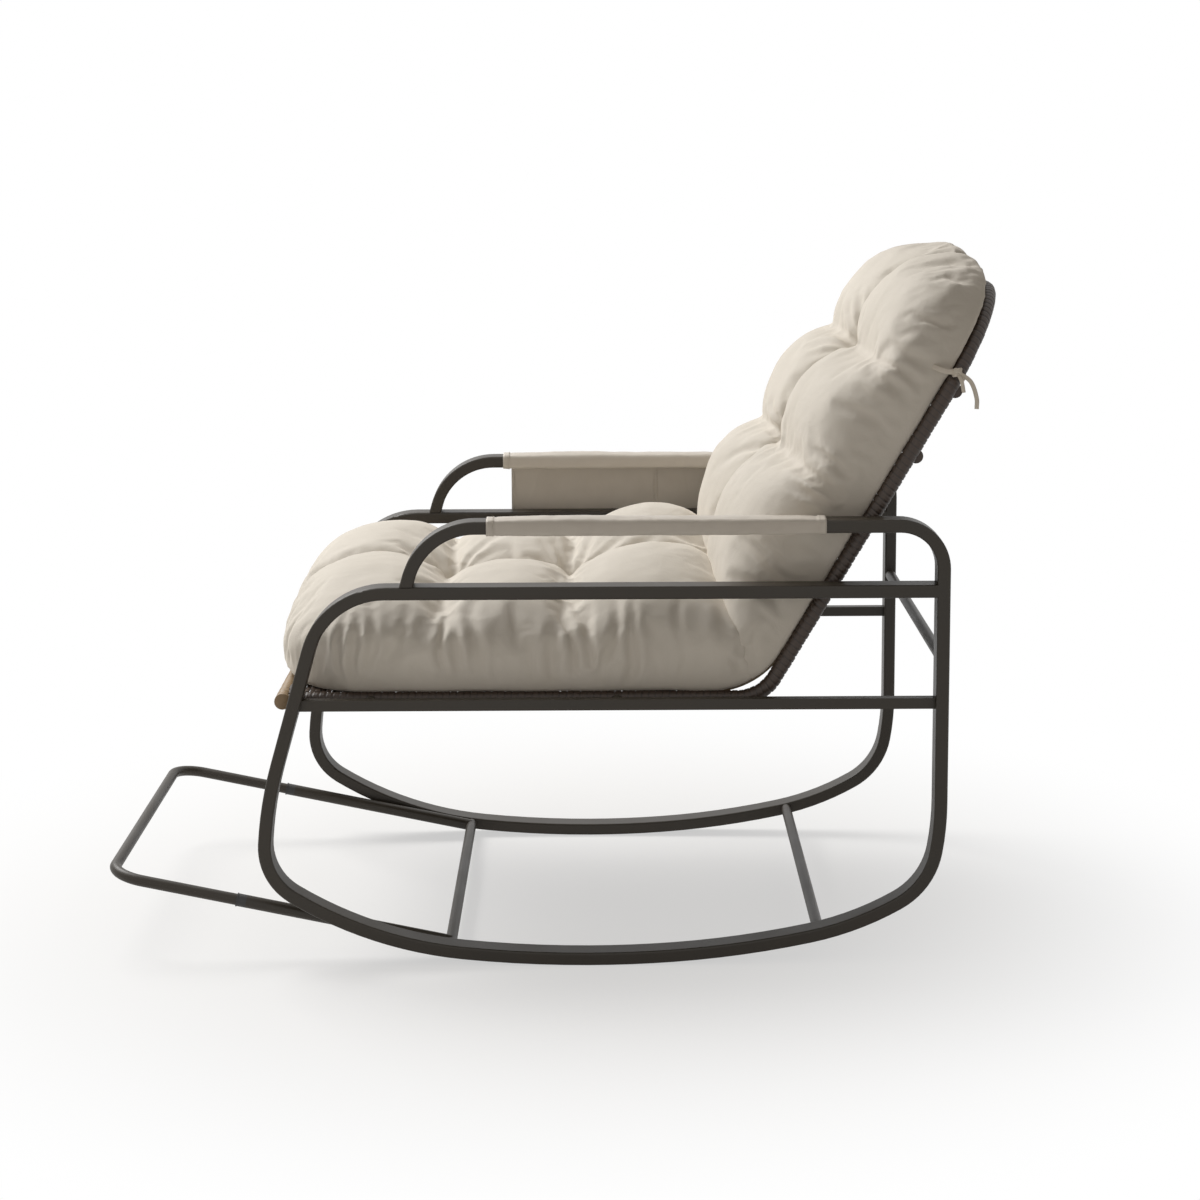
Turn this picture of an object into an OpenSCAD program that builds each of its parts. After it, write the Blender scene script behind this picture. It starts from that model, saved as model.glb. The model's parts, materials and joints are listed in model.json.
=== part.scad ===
// Rocking lounge chair on curved runners, with a pull-out footrest and a tufted pad.
// Lengths in millimetres. The chair faces -Y and stands on Z = 0.

/* [Side frames] */
// Width across the outer faces of the two side frames
frame_w = 660; // [600:5:720]
// Width of the flat side tube, measured across the chair
tube_w = 36; // [32:1:42]
// Thickness of the flat side tube, seen from the side
tube_t = 18; // [16:1:20]
// Corner radius of the flat side tube
tube_r = 3; // [2:0.5:4]
// Wall of every steel tube
tube_wall = 1.5; // [1.2:0.1:2]
// Height of the mid rail's centre line
mid_rail_z = 526; // [510:1:545]
// Height of the arm's centre line
arm_z = 616; // [605:1:640]
// Bend radius at the knee, where the mid rail turns into the front leg
knee_r = 109; // [100:1:120]
// Bend radius at the front of the arm
arm_front_r = 94; // [85:1:100]
// Bend radius at the rear of the arm
arm_rear_r = 60; // [50:1:65]
// Place of the arm's front bend, behind (+) or ahead (-) of the runner's lowest point
arm_front_y = -153; // [-165:1:-140]

/* [Runners] */
// Radius that the chair rocks on
rocker_r = 1667; // [1500:1:1800]
// Radius of the runner where it starts to rise at the rear
rise_r = 1369; // [1250:1:1500]
// Radius of the rear sweep
rear_sweep_r = 419; // [400:1:440]
// Radius of the rear heel
heel_r = 105; // [98:1:112]
// Radius that blends the heel into the upright
upright_blend_r = 391; // [350:1:430]
// Radius of the front sweep
front_sweep_r = 552; // [530:1:575]
// Radius of the toe
toe_r = 82; // [76:1:90]
// Radius that blends the toe into the front leg
leg_blend_r = 544; // [500:1:580]

/* [Rails and stretchers] */
// Height of the seat rails and of the woven seat's rim
seat_z = 368; // [360:1:376]
// Side of the square seat rail
rail_side = 15; // [12:1:18]
// Diameter of the round stretchers
stretcher_d = 16; // [14:0.5:18]
// Height of the crossbar between the uprights
crossbar_z = 430; // [410:1:450]

/* [Footrest] */
// Diameter of the footrest tube
footrest_d = 16; // [15:0.5:17]
// Radial play of the footrest tube in its guides
footrest_play = 0.1; // [0.05:0.01:0.1]
// Wall of the guide tubes
guide_wall = 0.9; // [0.8:0.1:1.2]
// Slope of the guides below the horizontal, in degrees
guide_slope = 11.8; // [11:0.1:12.5]
// Distance from the guide's mouth to the front stretcher
guide_len = 306; // [295:1:315]
// Distance from the guide's mouth to the footrest's front bar, pulled out
reach_len = 180; // [175:1:190]
// Bend radius of the footrest's corners
footrest_corner_r = 45; // [40:1:50]
// Travel of the footrest
travel_len = 115; // [100:1:118]
// Length of the bush at the guide's mouth
bush_len = 14; // [10:1:18]
// Wall of that bush
bush_wall = 1.6; // [1.4:0.1:2]

/* [Woven shell] */
// Diameter of the shell's steel tube
shell_tube_d = 16; // [14:1:17]
// Diameter of that tube with its wrapping
wrap_d = 22; // [20.5:0.5:24]
// Gap between the wrapped shell and each side frame
shell_gap = 2; // [1:0.5:4]
// Place of the front tube's centre line
shell_front_y = -423; // [-430:1:-415]
// Place where the lines of the seat and the back cross
hinge_y = 241; // [232:1:250]
// Backward tilt of the back from the vertical, in degrees
back_tilt = 30.5; // [28:0.5:33]
// Length of the back from that crossing to the centre line of its top
back_len = 642; // [600:1:680]
// Bend radius of the side tube between seat and back
side_bend_r = 60; // [50:1:70]
// Radius of the back's top corners
top_corner_r = 170; // [150:1:200]
// Radius of the weave between seat and back
weave_bend_r = 115; // [105:1:125]
// Thickness of the weave
weave_t = 4; // [3:0.5:5]
// Diameter of the bearers under the weave
bearer_d = 14; // [12:0.5:14]
// Diameter of the wrapped bars behind the back
back_bar_d = 20; // [18:0.5:22]

/* [Pad] */
// Gap between the pad and each side frame
pad_gap = 9; // [5:1:14]
// Crown of the seat above the weave, up to its rear tufts
seat_crown = 162; // [150:1:170]
// Crown of the seat at the fold
seat_rear_crown = 196; // [170:1:205]
// Crown of the back in front of the weave, at the fold
back_low_crown = 179; // [165:1:190]
// Crown of the back at its top
back_top_crown = 135; // [120:1:145]
// Depth that the tufts are drawn in
tuft_depth = 46; // [30:1:55]
// Diameter of the buttons
button_d = 24; // [20:1:30]

/* [Arm covers and pocket] */
// Place of the covers' front edge
cover_front_y = -137; // [-140:1:-120]
// Length of the covers
cover_len = 461; // [400:1:470]
// Thickness of the cover cloth
cover_t = 1.5; // [1:0.1:2]
// Length of the hem at each end of a cover
hem_len = 12; // [8:1:16]
// Height of the pocket's backing, from the arm's centre line down
pocket_drop = 196; // [180:1:215]
// Height of the pouches
pouch_h = 128; // [110:1:140]
// Room inside the pouches
pouch_room = 7; // [6:0.5:10]
// Length of the front pouch
front_pouch_len = 233; // [210:1:250]

/* [Hidden] */

// Smoothness of bends, of round tubes and of small round corners
bend_fn = 180;
round_fn = 48;
small_fn = 24;
// One overrun for every cut, one hairline between pieces that lie on each other
cut = 10;
hairline = 0.3;
// Seam left between one bend of a tube and the next
seam = 0.01;

// Turning angles of the runner, from its lowest point to the upright and to the leg
leg_lean = 16;
rear_turns = [[rocker_r, 4], [rise_r, 8], [rear_sweep_r, 18], [heel_r, 50], [upright_blend_r, 10]];
rocker_turn = 6;
sweep_turn = 26;
toe_turn = 62;
blend_turn = 90 + leg_lean - rocker_turn - sweep_turn - toe_turn;
front_turns = [
    [rocker_r, rocker_turn],
    [front_sweep_r, sweep_turn],
    [toe_r, toe_turn],
    [leg_blend_r, blend_turn]
];
front_stretcher_slope = 8.1;
rear_stretcher_slope = 13.9;

frame_tone = [0.24, 0.22, 0.19];
wicker_tone = [0.27, 0.19, 0.14];
front_wicker_tone = [0.55, 0.43, 0.31];
cloth_tone = [0.88, 0.85, 0.80];
cover_tone = [0.74, 0.70, 0.65];
dark_tone = [0.12, 0.11, 0.10];
steel_tone = [0.55, 0.54, 0.52];

// Ground covered by the first n turns of a chain that starts level
function start_angle(turns, n) = n == 0 ? 0 : start_angle(turns, n - 1) + turns[n - 1][1];
function turns_run(turns, n) = n == 0 ? 0 : turns_run(turns, n - 1)
    + turns[n - 1][0] * (sin(start_angle(turns, n)) - sin(start_angle(turns, n - 1)));
function turns_rise(turns, n) = n == 0 ? 0 : turns_rise(turns, n - 1)
    + turns[n - 1][0] * (cos(start_angle(turns, n - 1)) - cos(start_angle(turns, n)));

// Point on turn n of a chain, where the chain has a given slope
function slope_run(turns, n, slope) =
    turns_run(turns, n) + turns[n][0] * (sin(slope) - sin(start_angle(turns, n)));
function slope_rise(turns, n, slope) =
    turns_rise(turns, n) + turns[n][0] * (cos(start_angle(turns, n)) - cos(slope));

tube_half = tube_t / 2;
frame_x = frame_w / 2 - tube_w / 2;
inner_x = frame_w / 2 - tube_w;
upright_y = turns_run(rear_turns, len(rear_turns));
upright_z = tube_half + turns_rise(rear_turns, len(rear_turns));
leg_y = -turns_run(front_turns, len(front_turns));
leg_z = tube_half + turns_rise(front_turns, len(front_turns));
knee_turn = 90 - leg_lean;
leg_len = (mid_rail_z - knee_r * (1 - cos(knee_turn)) - leg_z) / cos(leg_lean);
knee_y = leg_y + leg_len * sin(leg_lean) + knee_r * sin(knee_turn);
mid_rail_top = mid_rail_z + tube_half;

front_stretcher_y = -slope_run(front_turns, 1, front_stretcher_slope);
front_stretcher_z = tube_half + slope_rise(front_turns, 1, front_stretcher_slope);
rear_stretcher_y = slope_run(rear_turns, 2, rear_stretcher_slope);
rear_stretcher_z = tube_half + slope_rise(rear_turns, 2, rear_stretcher_slope);

footrest_r = footrest_d / 2;
guide_bore_r = footrest_r + footrest_play;
guide_r = guide_bore_r + guide_wall;
guide_x = inner_x - guide_r;
// The footrest's legs stop short of the stretcher when it is pushed in
leg_end = guide_len - travel_len - 2 * stretcher_d;
plug_len = 12;
plug_head = 2;

wrap_r = wrap_d / 2;
rim_x = inner_x - shell_gap - wrap_r;
shell_tube_r = shell_tube_d / 2;
fold = 90 - back_tilt;
// The weave lies level with the front of the wrapping, so it ends where it meets it
weave_inset = sqrt(wrap_r * wrap_r - (wrap_r - weave_t) * (wrap_r - weave_t));
weave_half = rim_x - weave_inset;
weave_z = seat_z + wrap_r;
// The corner of the weave's own lines, and how far its bend reaches along each
weave_corner_y = hinge_y - wrap_r * tan(fold / 2);
weave_reach = weave_bend_r * tan(fold / 2);
bearer_places = [-250, -60, 110];
back_bearer_place = 250;
back_bar_drops = [142, 246];
back_bar_places = [for (drop = back_bar_drops) back_len - drop];
back_bar_set = 10;
bolt_r = 3;
bolt_head_r = 5.5;
bolt_head_h = 3.5;
bolt_top_share = 0.7;
bolt_play = 0.15;
spacer_r = 8;
bolt_places = [-300, 40];
rail_gap_x = frame_x - rail_side / 2;
bolt_end_x = rail_gap_x + tube_wall + bolt_r;

cover_y = cover_front_y;
cover_in_w = tube_w / 2 + hairline;
cover_in_t = tube_half + hairline;
pouch_x = frame_w / 2 + hairline + cover_t;

tie_turn = 16;
tie_ring_r = wrap_r + hairline;
tie_w = 8;
tie_t = 1.5;
tie_tail = 56;
tie_outer_r = tie_ring_r + tie_t;
tie_knot_r = 6;

// Tufts of the pad: distances along its seat and up its back
seat_tufts = [-204, -26];
back_tufts = [300, 480];
pad_w = 2 * (inner_x - pad_gap);
pad_front_y = -442;
pad_sheet_gap = hairline;
pad_bend_r = weave_bend_r - pad_sheet_gap;
pad_reach = pad_bend_r * tan(fold / 2);
crease_tilt = 20;
pad_end = 680;
pad_side_h = 62;
pad_tip_share = 0.28;
// Places across a ring of the pad, as shares of its half width, over its crown and under it
crown_shares = [1, 0.985, 0.93, 0.82, 0.66, 0.48, 0.3, 0.16, 0.07, 0];
floor_shares = [0.9, 0.55, 0];
seat_rings = 46;
back_rings = 46;
// The fibre filling weighs little, so it is a space inside a quilted wall, with fewer rings and points
quilt_t = 8;
core_points = [0, 2, 4, 6, 9, 12, 14, 16, 18, 19, 23];
seat_core_rings = [2, 6, 11, 16, 22, 29, 35, 40, 44];
back_core_rings = [2, 5, 9, 14, 20, 26, 33, 38, 42];
// Roundness of the pad's free ends, of its crown across, and of its lean towards the fold
end_power = 2.2;
crown_power = 2.6;
lean_power = 1.5;

// The part's origin is the middle of its box: footrest to back, pocket to arm cover
mouth_y = front_stretcher_y - guide_len * cos(guide_slope);
mouth_z = front_stretcher_z + guide_len * sin(guide_slope);
box_front = mouth_y - reach_len * cos(guide_slope) - footrest_r;
box_rear = hinge_y + back_len * sin(back_tilt) + wrap_r;
box_left = frame_w / 2 + hairline + cover_t + hairline;
box_right = pouch_x + cover_t + pouch_room + cover_t;
home = [(box_right - box_left) / 2, -(box_front + box_rear) / 2, 0];

module placed() { translate(home) children(); }

// Section of a flat tube: x is across its thickness, y is across its width
module rounded_bar(t, w, r) {
    square([t - 2 * r, w], center = true);
    square([t, w - 2 * r], center = true);
    for (sx = [-1, 1], sy = [-1, 1])
        translate([sx * (t / 2 - r), sy * (w / 2 - r)]) circle(r, $fn = small_fn);
}

module flat_section() {
    difference() {
        rounded_bar(tube_t, tube_w, tube_r);
        rounded_bar(tube_t - 2 * tube_wall, tube_w - 2 * tube_wall, tube_r - tube_wall / 2);
    }
}

// Lays a drawing in the side view: its x runs along Y, its y runs up, its z runs across
module side_view() { rotate([90, 0, 90]) children(); }

module flat_straight(p, heading, length) {
    translate([p[0], p[1], 0]) rotate([0, 0, heading]) rotate([90, 0, 90])
        linear_extrude(length) flat_section();
}

// A turn of any section, short of its neighbours by the seam at both ends
module seamed_turn(r, angle) {
    seam_turn = seam / r * 180 / PI;
    rotate([0, 0, seam_turn]) rotate_extrude(angle = angle - 2 * seam_turn, $fn = bend_fn)
        translate([r, 0]) children();
}

module flat_bend(p, heading, r, angle) {
    translate([p[0] - r * sin(heading), p[1] + r * cos(heading), 0]) rotate([0, 0, heading - 90])
        seamed_turn(r, angle) flat_section();
}

// The side loop: upright, heel, runner, toe, leg and knee as one bent tube, and the mid rail
module side_loop(side) difference() {
    translate([side * frame_x, 0, 0]) side_view() {
        for (i = [0 : len(rear_turns) - 1]) {
            a = start_angle(rear_turns, i);
            p = [turns_run(rear_turns, i), tube_half + turns_rise(rear_turns, i)];
            flat_bend(p, a, rear_turns[i][0], rear_turns[i][1]);
        }
        for (i = [0 : len(front_turns) - 1]) {
            a = start_angle(front_turns, i);
            p = [turns_run(front_turns, i), tube_half + turns_rise(front_turns, i)];
            mirror([1, 0, 0]) flat_bend(p, a, front_turns[i][0], front_turns[i][1]);
        }
        flat_straight([upright_y, upright_z], 90, mid_rail_top - upright_z);
        flat_straight([leg_y, leg_z], knee_turn, leg_len);
        flat_bend([knee_y, mid_rail_z], 180, knee_r, knee_turn);
        flat_straight([knee_y, mid_rail_z], 0, upright_y - tube_half + tube_r - knee_y);
    }
    wall_hole(side * inner_x, mid_bolt_y, mid_rail_z);
}

// Hole for one of the shell's bolts in the inner wall of a tube
module wall_hole(x, y, z) {
    translate([x, y, z]) rotate([0, 90, 0])
        cylinder(h = 4 * tube_wall, r = bolt_r + bolt_play, center = true, $fn = round_fn);
}

module side_loop_left() placed() color(frame_tone) side_loop(1);
module side_loop_right() placed() color(frame_tone) side_loop(-1);

// The arm bow stands on the mid rail at both ends
module arm_bow() {
    foot_turn = knee_turn;
    foot = [arm_front_y - arm_front_r * sin(foot_turn), arm_z - arm_front_r * (1 - cos(foot_turn))];
    side_view() difference() {
        union() {
            flat_straight([upright_y, mid_rail_top], 90, arm_z - arm_rear_r - mid_rail_top);
            flat_bend([upright_y, arm_z - arm_rear_r], 90, arm_rear_r, 90);
            flat_straight([arm_front_y, arm_z], 0, upright_y - arm_rear_r - arm_front_y);
            flat_bend([arm_front_y, arm_z], 180, arm_front_r, foot_turn);
            flat_straight(foot, 180 + foot_turn, arm_front_r);
        }
        translate([foot[0] - arm_front_r, mid_rail_top - 2 * arm_front_r, -tube_w])
            cube([2 * arm_front_r, 2 * arm_front_r, 2 * tube_w]);
    }
}

module arm_bow_left() placed() color(frame_tone) translate([frame_x, 0, 0]) arm_bow();
module arm_bow_right() placed() color(frame_tone) translate([-frame_x, 0, 0]) arm_bow();

// A square seat rail, mitred to the leaning leg, with holes in its inner wall for the bolts
module seat_rail(side) {
    leg_face_y = leg_y + (seat_z - leg_z) * tan(leg_lean) + tube_half / cos(leg_lean);
    rail_end_y = upright_y - tube_half;
    difference() {
        translate([side * frame_x, leg_face_y - rail_side, seat_z]) rotate([-90, 0, 0])
            linear_extrude(rail_end_y - leg_face_y + rail_side) difference() {
                square(rail_side, center = true);
                square(rail_side - 2 * tube_wall, center = true);
            }
        translate([side * frame_x, leg_face_y, seat_z]) rotate([-leg_lean, 0, 0])
            translate([-rail_side, -4 * rail_side, -2 * rail_side])
                cube([2 * rail_side, 4 * rail_side, 4 * rail_side]);
        for (y = bolt_places) wall_hole(side * rail_gap_x, y, seat_z);
    }
}

module seat_rail_left() placed() color(frame_tone) seat_rail(1);
module seat_rail_right() placed() color(frame_tone) seat_rail(-1);

module round_stretcher(y, z) {
    translate([-inner_x, y, z]) rotate([0, 90, 0]) difference() {
        cylinder(h = 2 * inner_x, d = stretcher_d, $fn = round_fn);
        translate([0, 0, -cut])
            cylinder(h = 2 * inner_x + 2 * cut, d = stretcher_d - 2 * tube_wall, $fn = round_fn);
    }
}

module front_stretcher() placed() color(frame_tone) round_stretcher(front_stretcher_y, front_stretcher_z);
module rear_stretcher() placed() color(frame_tone) round_stretcher(rear_stretcher_y, rear_stretcher_z);
module back_crossbar() placed() color(frame_tone) round_stretcher(upright_y, crossbar_z);

// Puts its children on a guide's axis, with z running out of the guide's mouth
module on_guide(side) {
    translate([side * guide_x, mouth_y, mouth_z]) rotate([90 - guide_slope, 0, 0]) children();
}

// The guide is coped round the front stretcher that it is welded to
module footrest_guide(side) {
    difference() {
        on_guide(side) translate([0, 0, -guide_len]) difference() {
            cylinder(h = guide_len - bush_len, r = guide_r, $fn = round_fn);
            translate([0, 0, -cut])
                cylinder(h = guide_len + 2 * cut, r = guide_bore_r, $fn = round_fn);
        }
        translate([0, front_stretcher_y, front_stretcher_z]) rotate([0, 90, 0])
            cylinder(h = frame_w, d = stretcher_d, center = true, $fn = round_fn);
    }
}

module footrest_guide_left() placed() color(frame_tone) footrest_guide(1);
module footrest_guide_right() placed() color(frame_tone) footrest_guide(-1);

// The bush ends in a thin rim round the footrest's leg
module guide_bush(side) {
    rim_t = bush_wall;
    on_guide(side) translate([0, 0, -bush_len]) rotate_extrude($fn = round_fn)
        translate([guide_bore_r, 0]) {
            square([guide_wall, bush_len]);
            translate([0, bush_len - rim_t]) square([bush_wall, rim_t]);
        }
}

module guide_bush_left() placed() color(dark_tone) guide_bush(1);
module guide_bush_right() placed() color(dark_tone) guide_bush(-1);

module round_ring(outer, inner) {
    difference() {
        circle(outer, $fn = round_fn);
        circle(inner, $fn = round_fn);
    }
}

// The footrest is one U of round tube
module footrest_bar() placed() color(frame_tone) {
    bar_half = guide_x - footrest_corner_r;
    for (side = [-1, 1]) on_guide(side) {
        translate([0, 0, -leg_end]) linear_extrude(leg_end + reach_len - footrest_corner_r)
            round_ring(footrest_r, footrest_r - tube_wall);
        translate([-side * footrest_corner_r, 0, reach_len - footrest_corner_r])
            rotate([90, 0, 0]) rotate([0, 0, side > 0 ? 0 : 90])
                seamed_turn(footrest_corner_r, 90) round_ring(footrest_r, footrest_r - tube_wall);
    }
    on_guide(1) translate([-guide_x - bar_half, 0, reach_len]) rotate([0, 90, 0])
        linear_extrude(2 * bar_half) round_ring(footrest_r, footrest_r - tube_wall);
}

// Plastic plugs close the footrest's rear ends inside the guides
module footrest_plugs() placed() color(dark_tone) {
    for (side = [-1, 1]) on_guide(side) translate([0, 0, -leg_end]) {
        cylinder(h = plug_len, r = footrest_r - tube_wall, $fn = round_fn);
        translate([0, 0, -plug_head]) cylinder(h = plug_head, r = footrest_r, $fn = round_fn);
    }
}

// The back's own frame: z runs up the back, y runs to the rear
module on_back() { translate([0, hinge_y, seat_z]) rotate([-back_tilt, 0, 0]) children(); }

// The shell's tube from the front tube, round the bend and over the back
module rim(outer, inner) {
    bend_reach = side_bend_r * tan(fold / 2);
    top_half = rim_x - top_corner_r;
    for (side = [-1, 1]) {
        translate([side * rim_x, shell_front_y, seat_z]) rotate([-90, 0, 0])
            linear_extrude(hinge_y - bend_reach - shell_front_y) round_ring(outer, inner);
        translate([side * rim_x, hinge_y - bend_reach, seat_z + side_bend_r]) side_view()
            rotate([0, 0, -90]) seamed_turn(side_bend_r, fold) round_ring(outer, inner);
        on_back() translate([side * rim_x, 0, bend_reach])
            linear_extrude(back_len - top_corner_r - bend_reach) round_ring(outer, inner);
        on_back() translate([side * top_half, 0, back_len - top_corner_r])
            rotate([90, 0, 0]) rotate([0, 0, side > 0 ? 0 : 90])
                seamed_turn(top_corner_r, 90) round_ring(outer, inner);
    }
    on_back() translate([-top_half, 0, back_len]) rotate([0, 90, 0])
        linear_extrude(2 * top_half) round_ring(outer, inner);
}

// Bolt holes across the shell's sides, at the seat rails and at the mid rails
mid_bolt_y = hinge_y + (mid_rail_z - seat_z) * tan(back_tilt);
bolt_spots = [for (y = bolt_places) [y, seat_z], [mid_bolt_y, mid_rail_z]];

module bolt_holes(r) {
    for (side = [-1, 1], spot = bolt_spots)
        translate([side * rim_x, spot[0], spot[1]]) rotate([0, 90, 0])
            cylinder(h = 2 * wrap_d, r = r, center = true, $fn = round_fn);
}

// Cut that copes the sides to the front tube
module front_cope(r) {
    translate([0, shell_front_y, seat_z]) rotate([0, 90, 0])
        cylinder(h = frame_w, r = r + hairline, center = true, $fn = round_fn);
}

module shell_frame() placed() color(steel_tone) difference() {
    rim(shell_tube_r, shell_tube_r - tube_wall);
    bolt_holes(bolt_r + bolt_play);
    front_cope(shell_tube_r);
}

module rim_wrap() placed() color(wicker_tone) difference() {
    rim(wrap_r, shell_tube_r);
    bolt_holes(bolt_r + bolt_play);
    front_cope(wrap_r);
}

module cross_tube(half, outer, inner) {
    rotate([0, 90, 0]) difference() {
        cylinder(h = 2 * half, r = outer, center = true, $fn = round_fn);
        cylinder(h = 2 * half + 2 * cut, r = inner, center = true, $fn = round_fn);
    }
}

module shell_front_tube() placed() color(steel_tone)
    translate([0, shell_front_y, seat_z]) cross_tube(rim_x + wrap_r, shell_tube_r, shell_tube_r - tube_wall);

// The front wrapping leaves room for the two side tubes that butt against the front tube
module front_wrap() placed() color(front_wicker_tone) difference() {
    translate([0, shell_front_y, seat_z]) cross_tube(rim_x + wrap_r, wrap_r, shell_tube_r);
    for (side = [-1, 1])
        translate([side * rim_x, shell_front_y, seat_z]) rotate([-90, 0, 0])
            cylinder(h = 2 * wrap_d, r = shell_tube_r + hairline, $fn = round_fn);
}

module seat_weave() placed() color(wicker_tone) {
    front_y = shell_front_y + weave_inset;
    translate([-weave_half, front_y, weave_z - weave_t])
        cube([2 * weave_half, weave_corner_y - weave_reach - front_y, weave_t]);
}

module bend_weave() placed() color(wicker_tone)
    translate([-weave_half, weave_corner_y - weave_reach, weave_z + weave_bend_r]) side_view()
        rotate([0, 0, -90]) seamed_turn(weave_bend_r, fold) square([weave_t, 2 * weave_half]);

module back_weave() placed() color(wicker_tone) {
    low = weave_reach + wrap_r * tan(fold / 2);
    corner = top_corner_r - weave_inset;
    height = back_len - weave_inset;
    on_back() difference() {
        translate([0, weave_t - wrap_r, 0]) rotate([90, 0, 0]) linear_extrude(weave_t) {
            translate([-weave_half, low]) square([2 * weave_half, height - corner - low]);
            translate([corner - weave_half, low]) square([2 * (weave_half - corner), height - low]);
            for (side = [-1, 1])
                translate([side * (weave_half - corner), height - corner]) circle(corner, $fn = bend_fn);
        }
        for (side = [-1, 1]) on_tie(side)
            cylinder(h = tie_w + 2 * hairline, r = tie_outer_r + hairline, center = true, $fn = round_fn);
    }
}

// Bearers join the two sides of the shell just under the weave, coped to their wrapping
module cross_bearer() {
    cross_tube(rim_x, bearer_d / 2, bearer_d / 2 - tube_wall);
}

module side_tubes() {
    for (side = [-1, 1]) translate([side * rim_x, 0, 0])
        cylinder(h = 2 * back_len, r = wrap_r + hairline, center = true, $fn = round_fn);
}

module seat_bearer(y) difference() {
    translate([0, y, weave_z - weave_t - bearer_d / 2]) cross_bearer();
    translate([0, 0, seat_z]) rotate([90, 0, 0]) side_tubes();
}

module seat_bearer_front() placed() color(wicker_tone) seat_bearer(bearer_places[0]);
module seat_bearer_middle() placed() color(wicker_tone) seat_bearer(bearer_places[1]);
module seat_bearer_rear() placed() color(wicker_tone) seat_bearer(bearer_places[2]);

module back_bearer() placed() color(wicker_tone) on_back() difference() {
    translate([0, weave_t + bearer_d / 2 - wrap_r, back_bearer_place]) cross_bearer();
    side_tubes();
}

// Wrapped bars stand out behind the back, coped to the sides or to the top corners
module back_bar(place) on_back() difference() {
    translate([0, back_bar_set, place]) cross_tube(rim_x, back_bar_d / 2, shell_tube_r - tube_wall);
    side_tubes();
    for (side = [0, 1]) mirror([side, 0, 0])
        translate([rim_x - top_corner_r, 0, back_len - top_corner_r]) rotate([90, 0, 0])
            rotate_extrude(angle = 90, $fn = bend_fn)
                translate([top_corner_r, 0]) circle(wrap_r + hairline, $fn = round_fn);
}

module back_bar_upper() placed() color(wicker_tone) back_bar(back_bar_places[0]);
module back_bar_lower() placed() color(wicker_tone) back_bar(back_bar_places[1]);

// Spacers hold the shell's sides away from the seat rails
module spacer(x0, x1, spot, r) {
    translate([x0, spot[0], spot[1]]) rotate([0, 90, 0]) difference() {
        cylinder(h = x1 - x0, r = r, $fn = round_fn);
        translate([0, 0, -cut])
            cylinder(h = x1 - x0 + 2 * cut, r = bolt_r + bolt_play, $fn = round_fn);
    }
}

module shell_spacers() placed() color(frame_tone)
    for (y = bolt_places) {
        spacer(rim_x + wrap_r, rail_gap_x, [y, seat_z], spacer_r);
        spacer(-rail_gap_x, -rim_x - wrap_r, [y, seat_z], spacer_r);
    }

module shell_washers() placed() color(frame_tone) {
    spacer(rim_x + wrap_r, inner_x, bolt_spots[2], spacer_r);
    spacer(-inner_x, -rim_x - wrap_r, bolt_spots[2], spacer_r);
}

// Button-head bolts, put in from inside the shell so that no head shows
module shell_bolts() placed() color(steel_tone)
    for (side = [-1, 1], spot = bolt_spots)
        translate([side * (rim_x - wrap_r), spot[0], spot[1]]) rotate([0, side * 90, 0]) {
            cylinder(h = bolt_end_x - rim_x + wrap_r, r = bolt_r, $fn = round_fn);
            translate([0, 0, -bolt_head_h]) bolt_head();
        }

module bolt_head() {
    cylinder(h = bolt_head_h, r1 = bolt_top_share * bolt_head_r, r2 = bolt_head_r, $fn = round_fn);
}

// Swelling of a stuffed form: 0 at its edge, 1 in the middle
function swell(u, power) = pow(max(0, 1 - pow(abs(u), power)), 1 / power);
function dip(d, width) = exp(-pow(d / width, 2));

// How far the tufts, the seams between them and the middle seam draw the crown in
seam_w = 26;
tuft_w = 46;
row_share = 0.5;
middle_share = 0.45;
knot_share = 0.55;
function drawn_in(x, s, tufts) =
    let (row = max([for (t = tufts) dip(s - t, seam_w)]))
    let (knot = max([for (t = tufts) dip(s - t, tuft_w)]) * dip(x, tuft_w))
    tuft_depth * min(1, row_share * row + middle_share * dip(x, seam_w) + knot_share * knot);

// One ring of the pad: a stuffed section at a place, leaning forward by a tilt
half_crown = len(crown_shares);
half_floor = len(floor_shares);
all_shares = concat(
    crown_shares,
    [for (i = [half_crown - 2 : -1 : 0]) -crown_shares[i]],
    [for (i = [0 : half_floor - 1]) -floor_shares[i]],
    [for (i = [half_floor - 2 : -1 : 0]) floor_shares[i]]
);
crown_points = 2 * half_crown - 1;
ring_points = len(all_shares);
function pad_ring(base, tilt, size, s, crown, tufts, wall) = [
    for (i = wall > 0 ? core_points : [0 : ring_points - 1])
        let (share = all_shares[i])
        let (x = pad_w / 2 * (pad_tip_share + (1 - pad_tip_share) * size) * share)
        let (full = crown * size)
        let (side_h = min(pad_side_h, full / 2))
        let (top = max(full - drawn_in(x, s, tufts) * size, side_h))
        let (outer_h = i < crown_points ? side_h + (top - side_h) * swell(share, crown_power) : 0)
        let (sunk = wall > 0 && share == 0 ? tuft_depth / 2 : 0)
        let (h = wall + outer_h * (full - 2 * wall) / full - sunk)
        [x - wall * share, base[0] - h * sin(tilt), base[1] + h * cos(tilt)]
];

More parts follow.
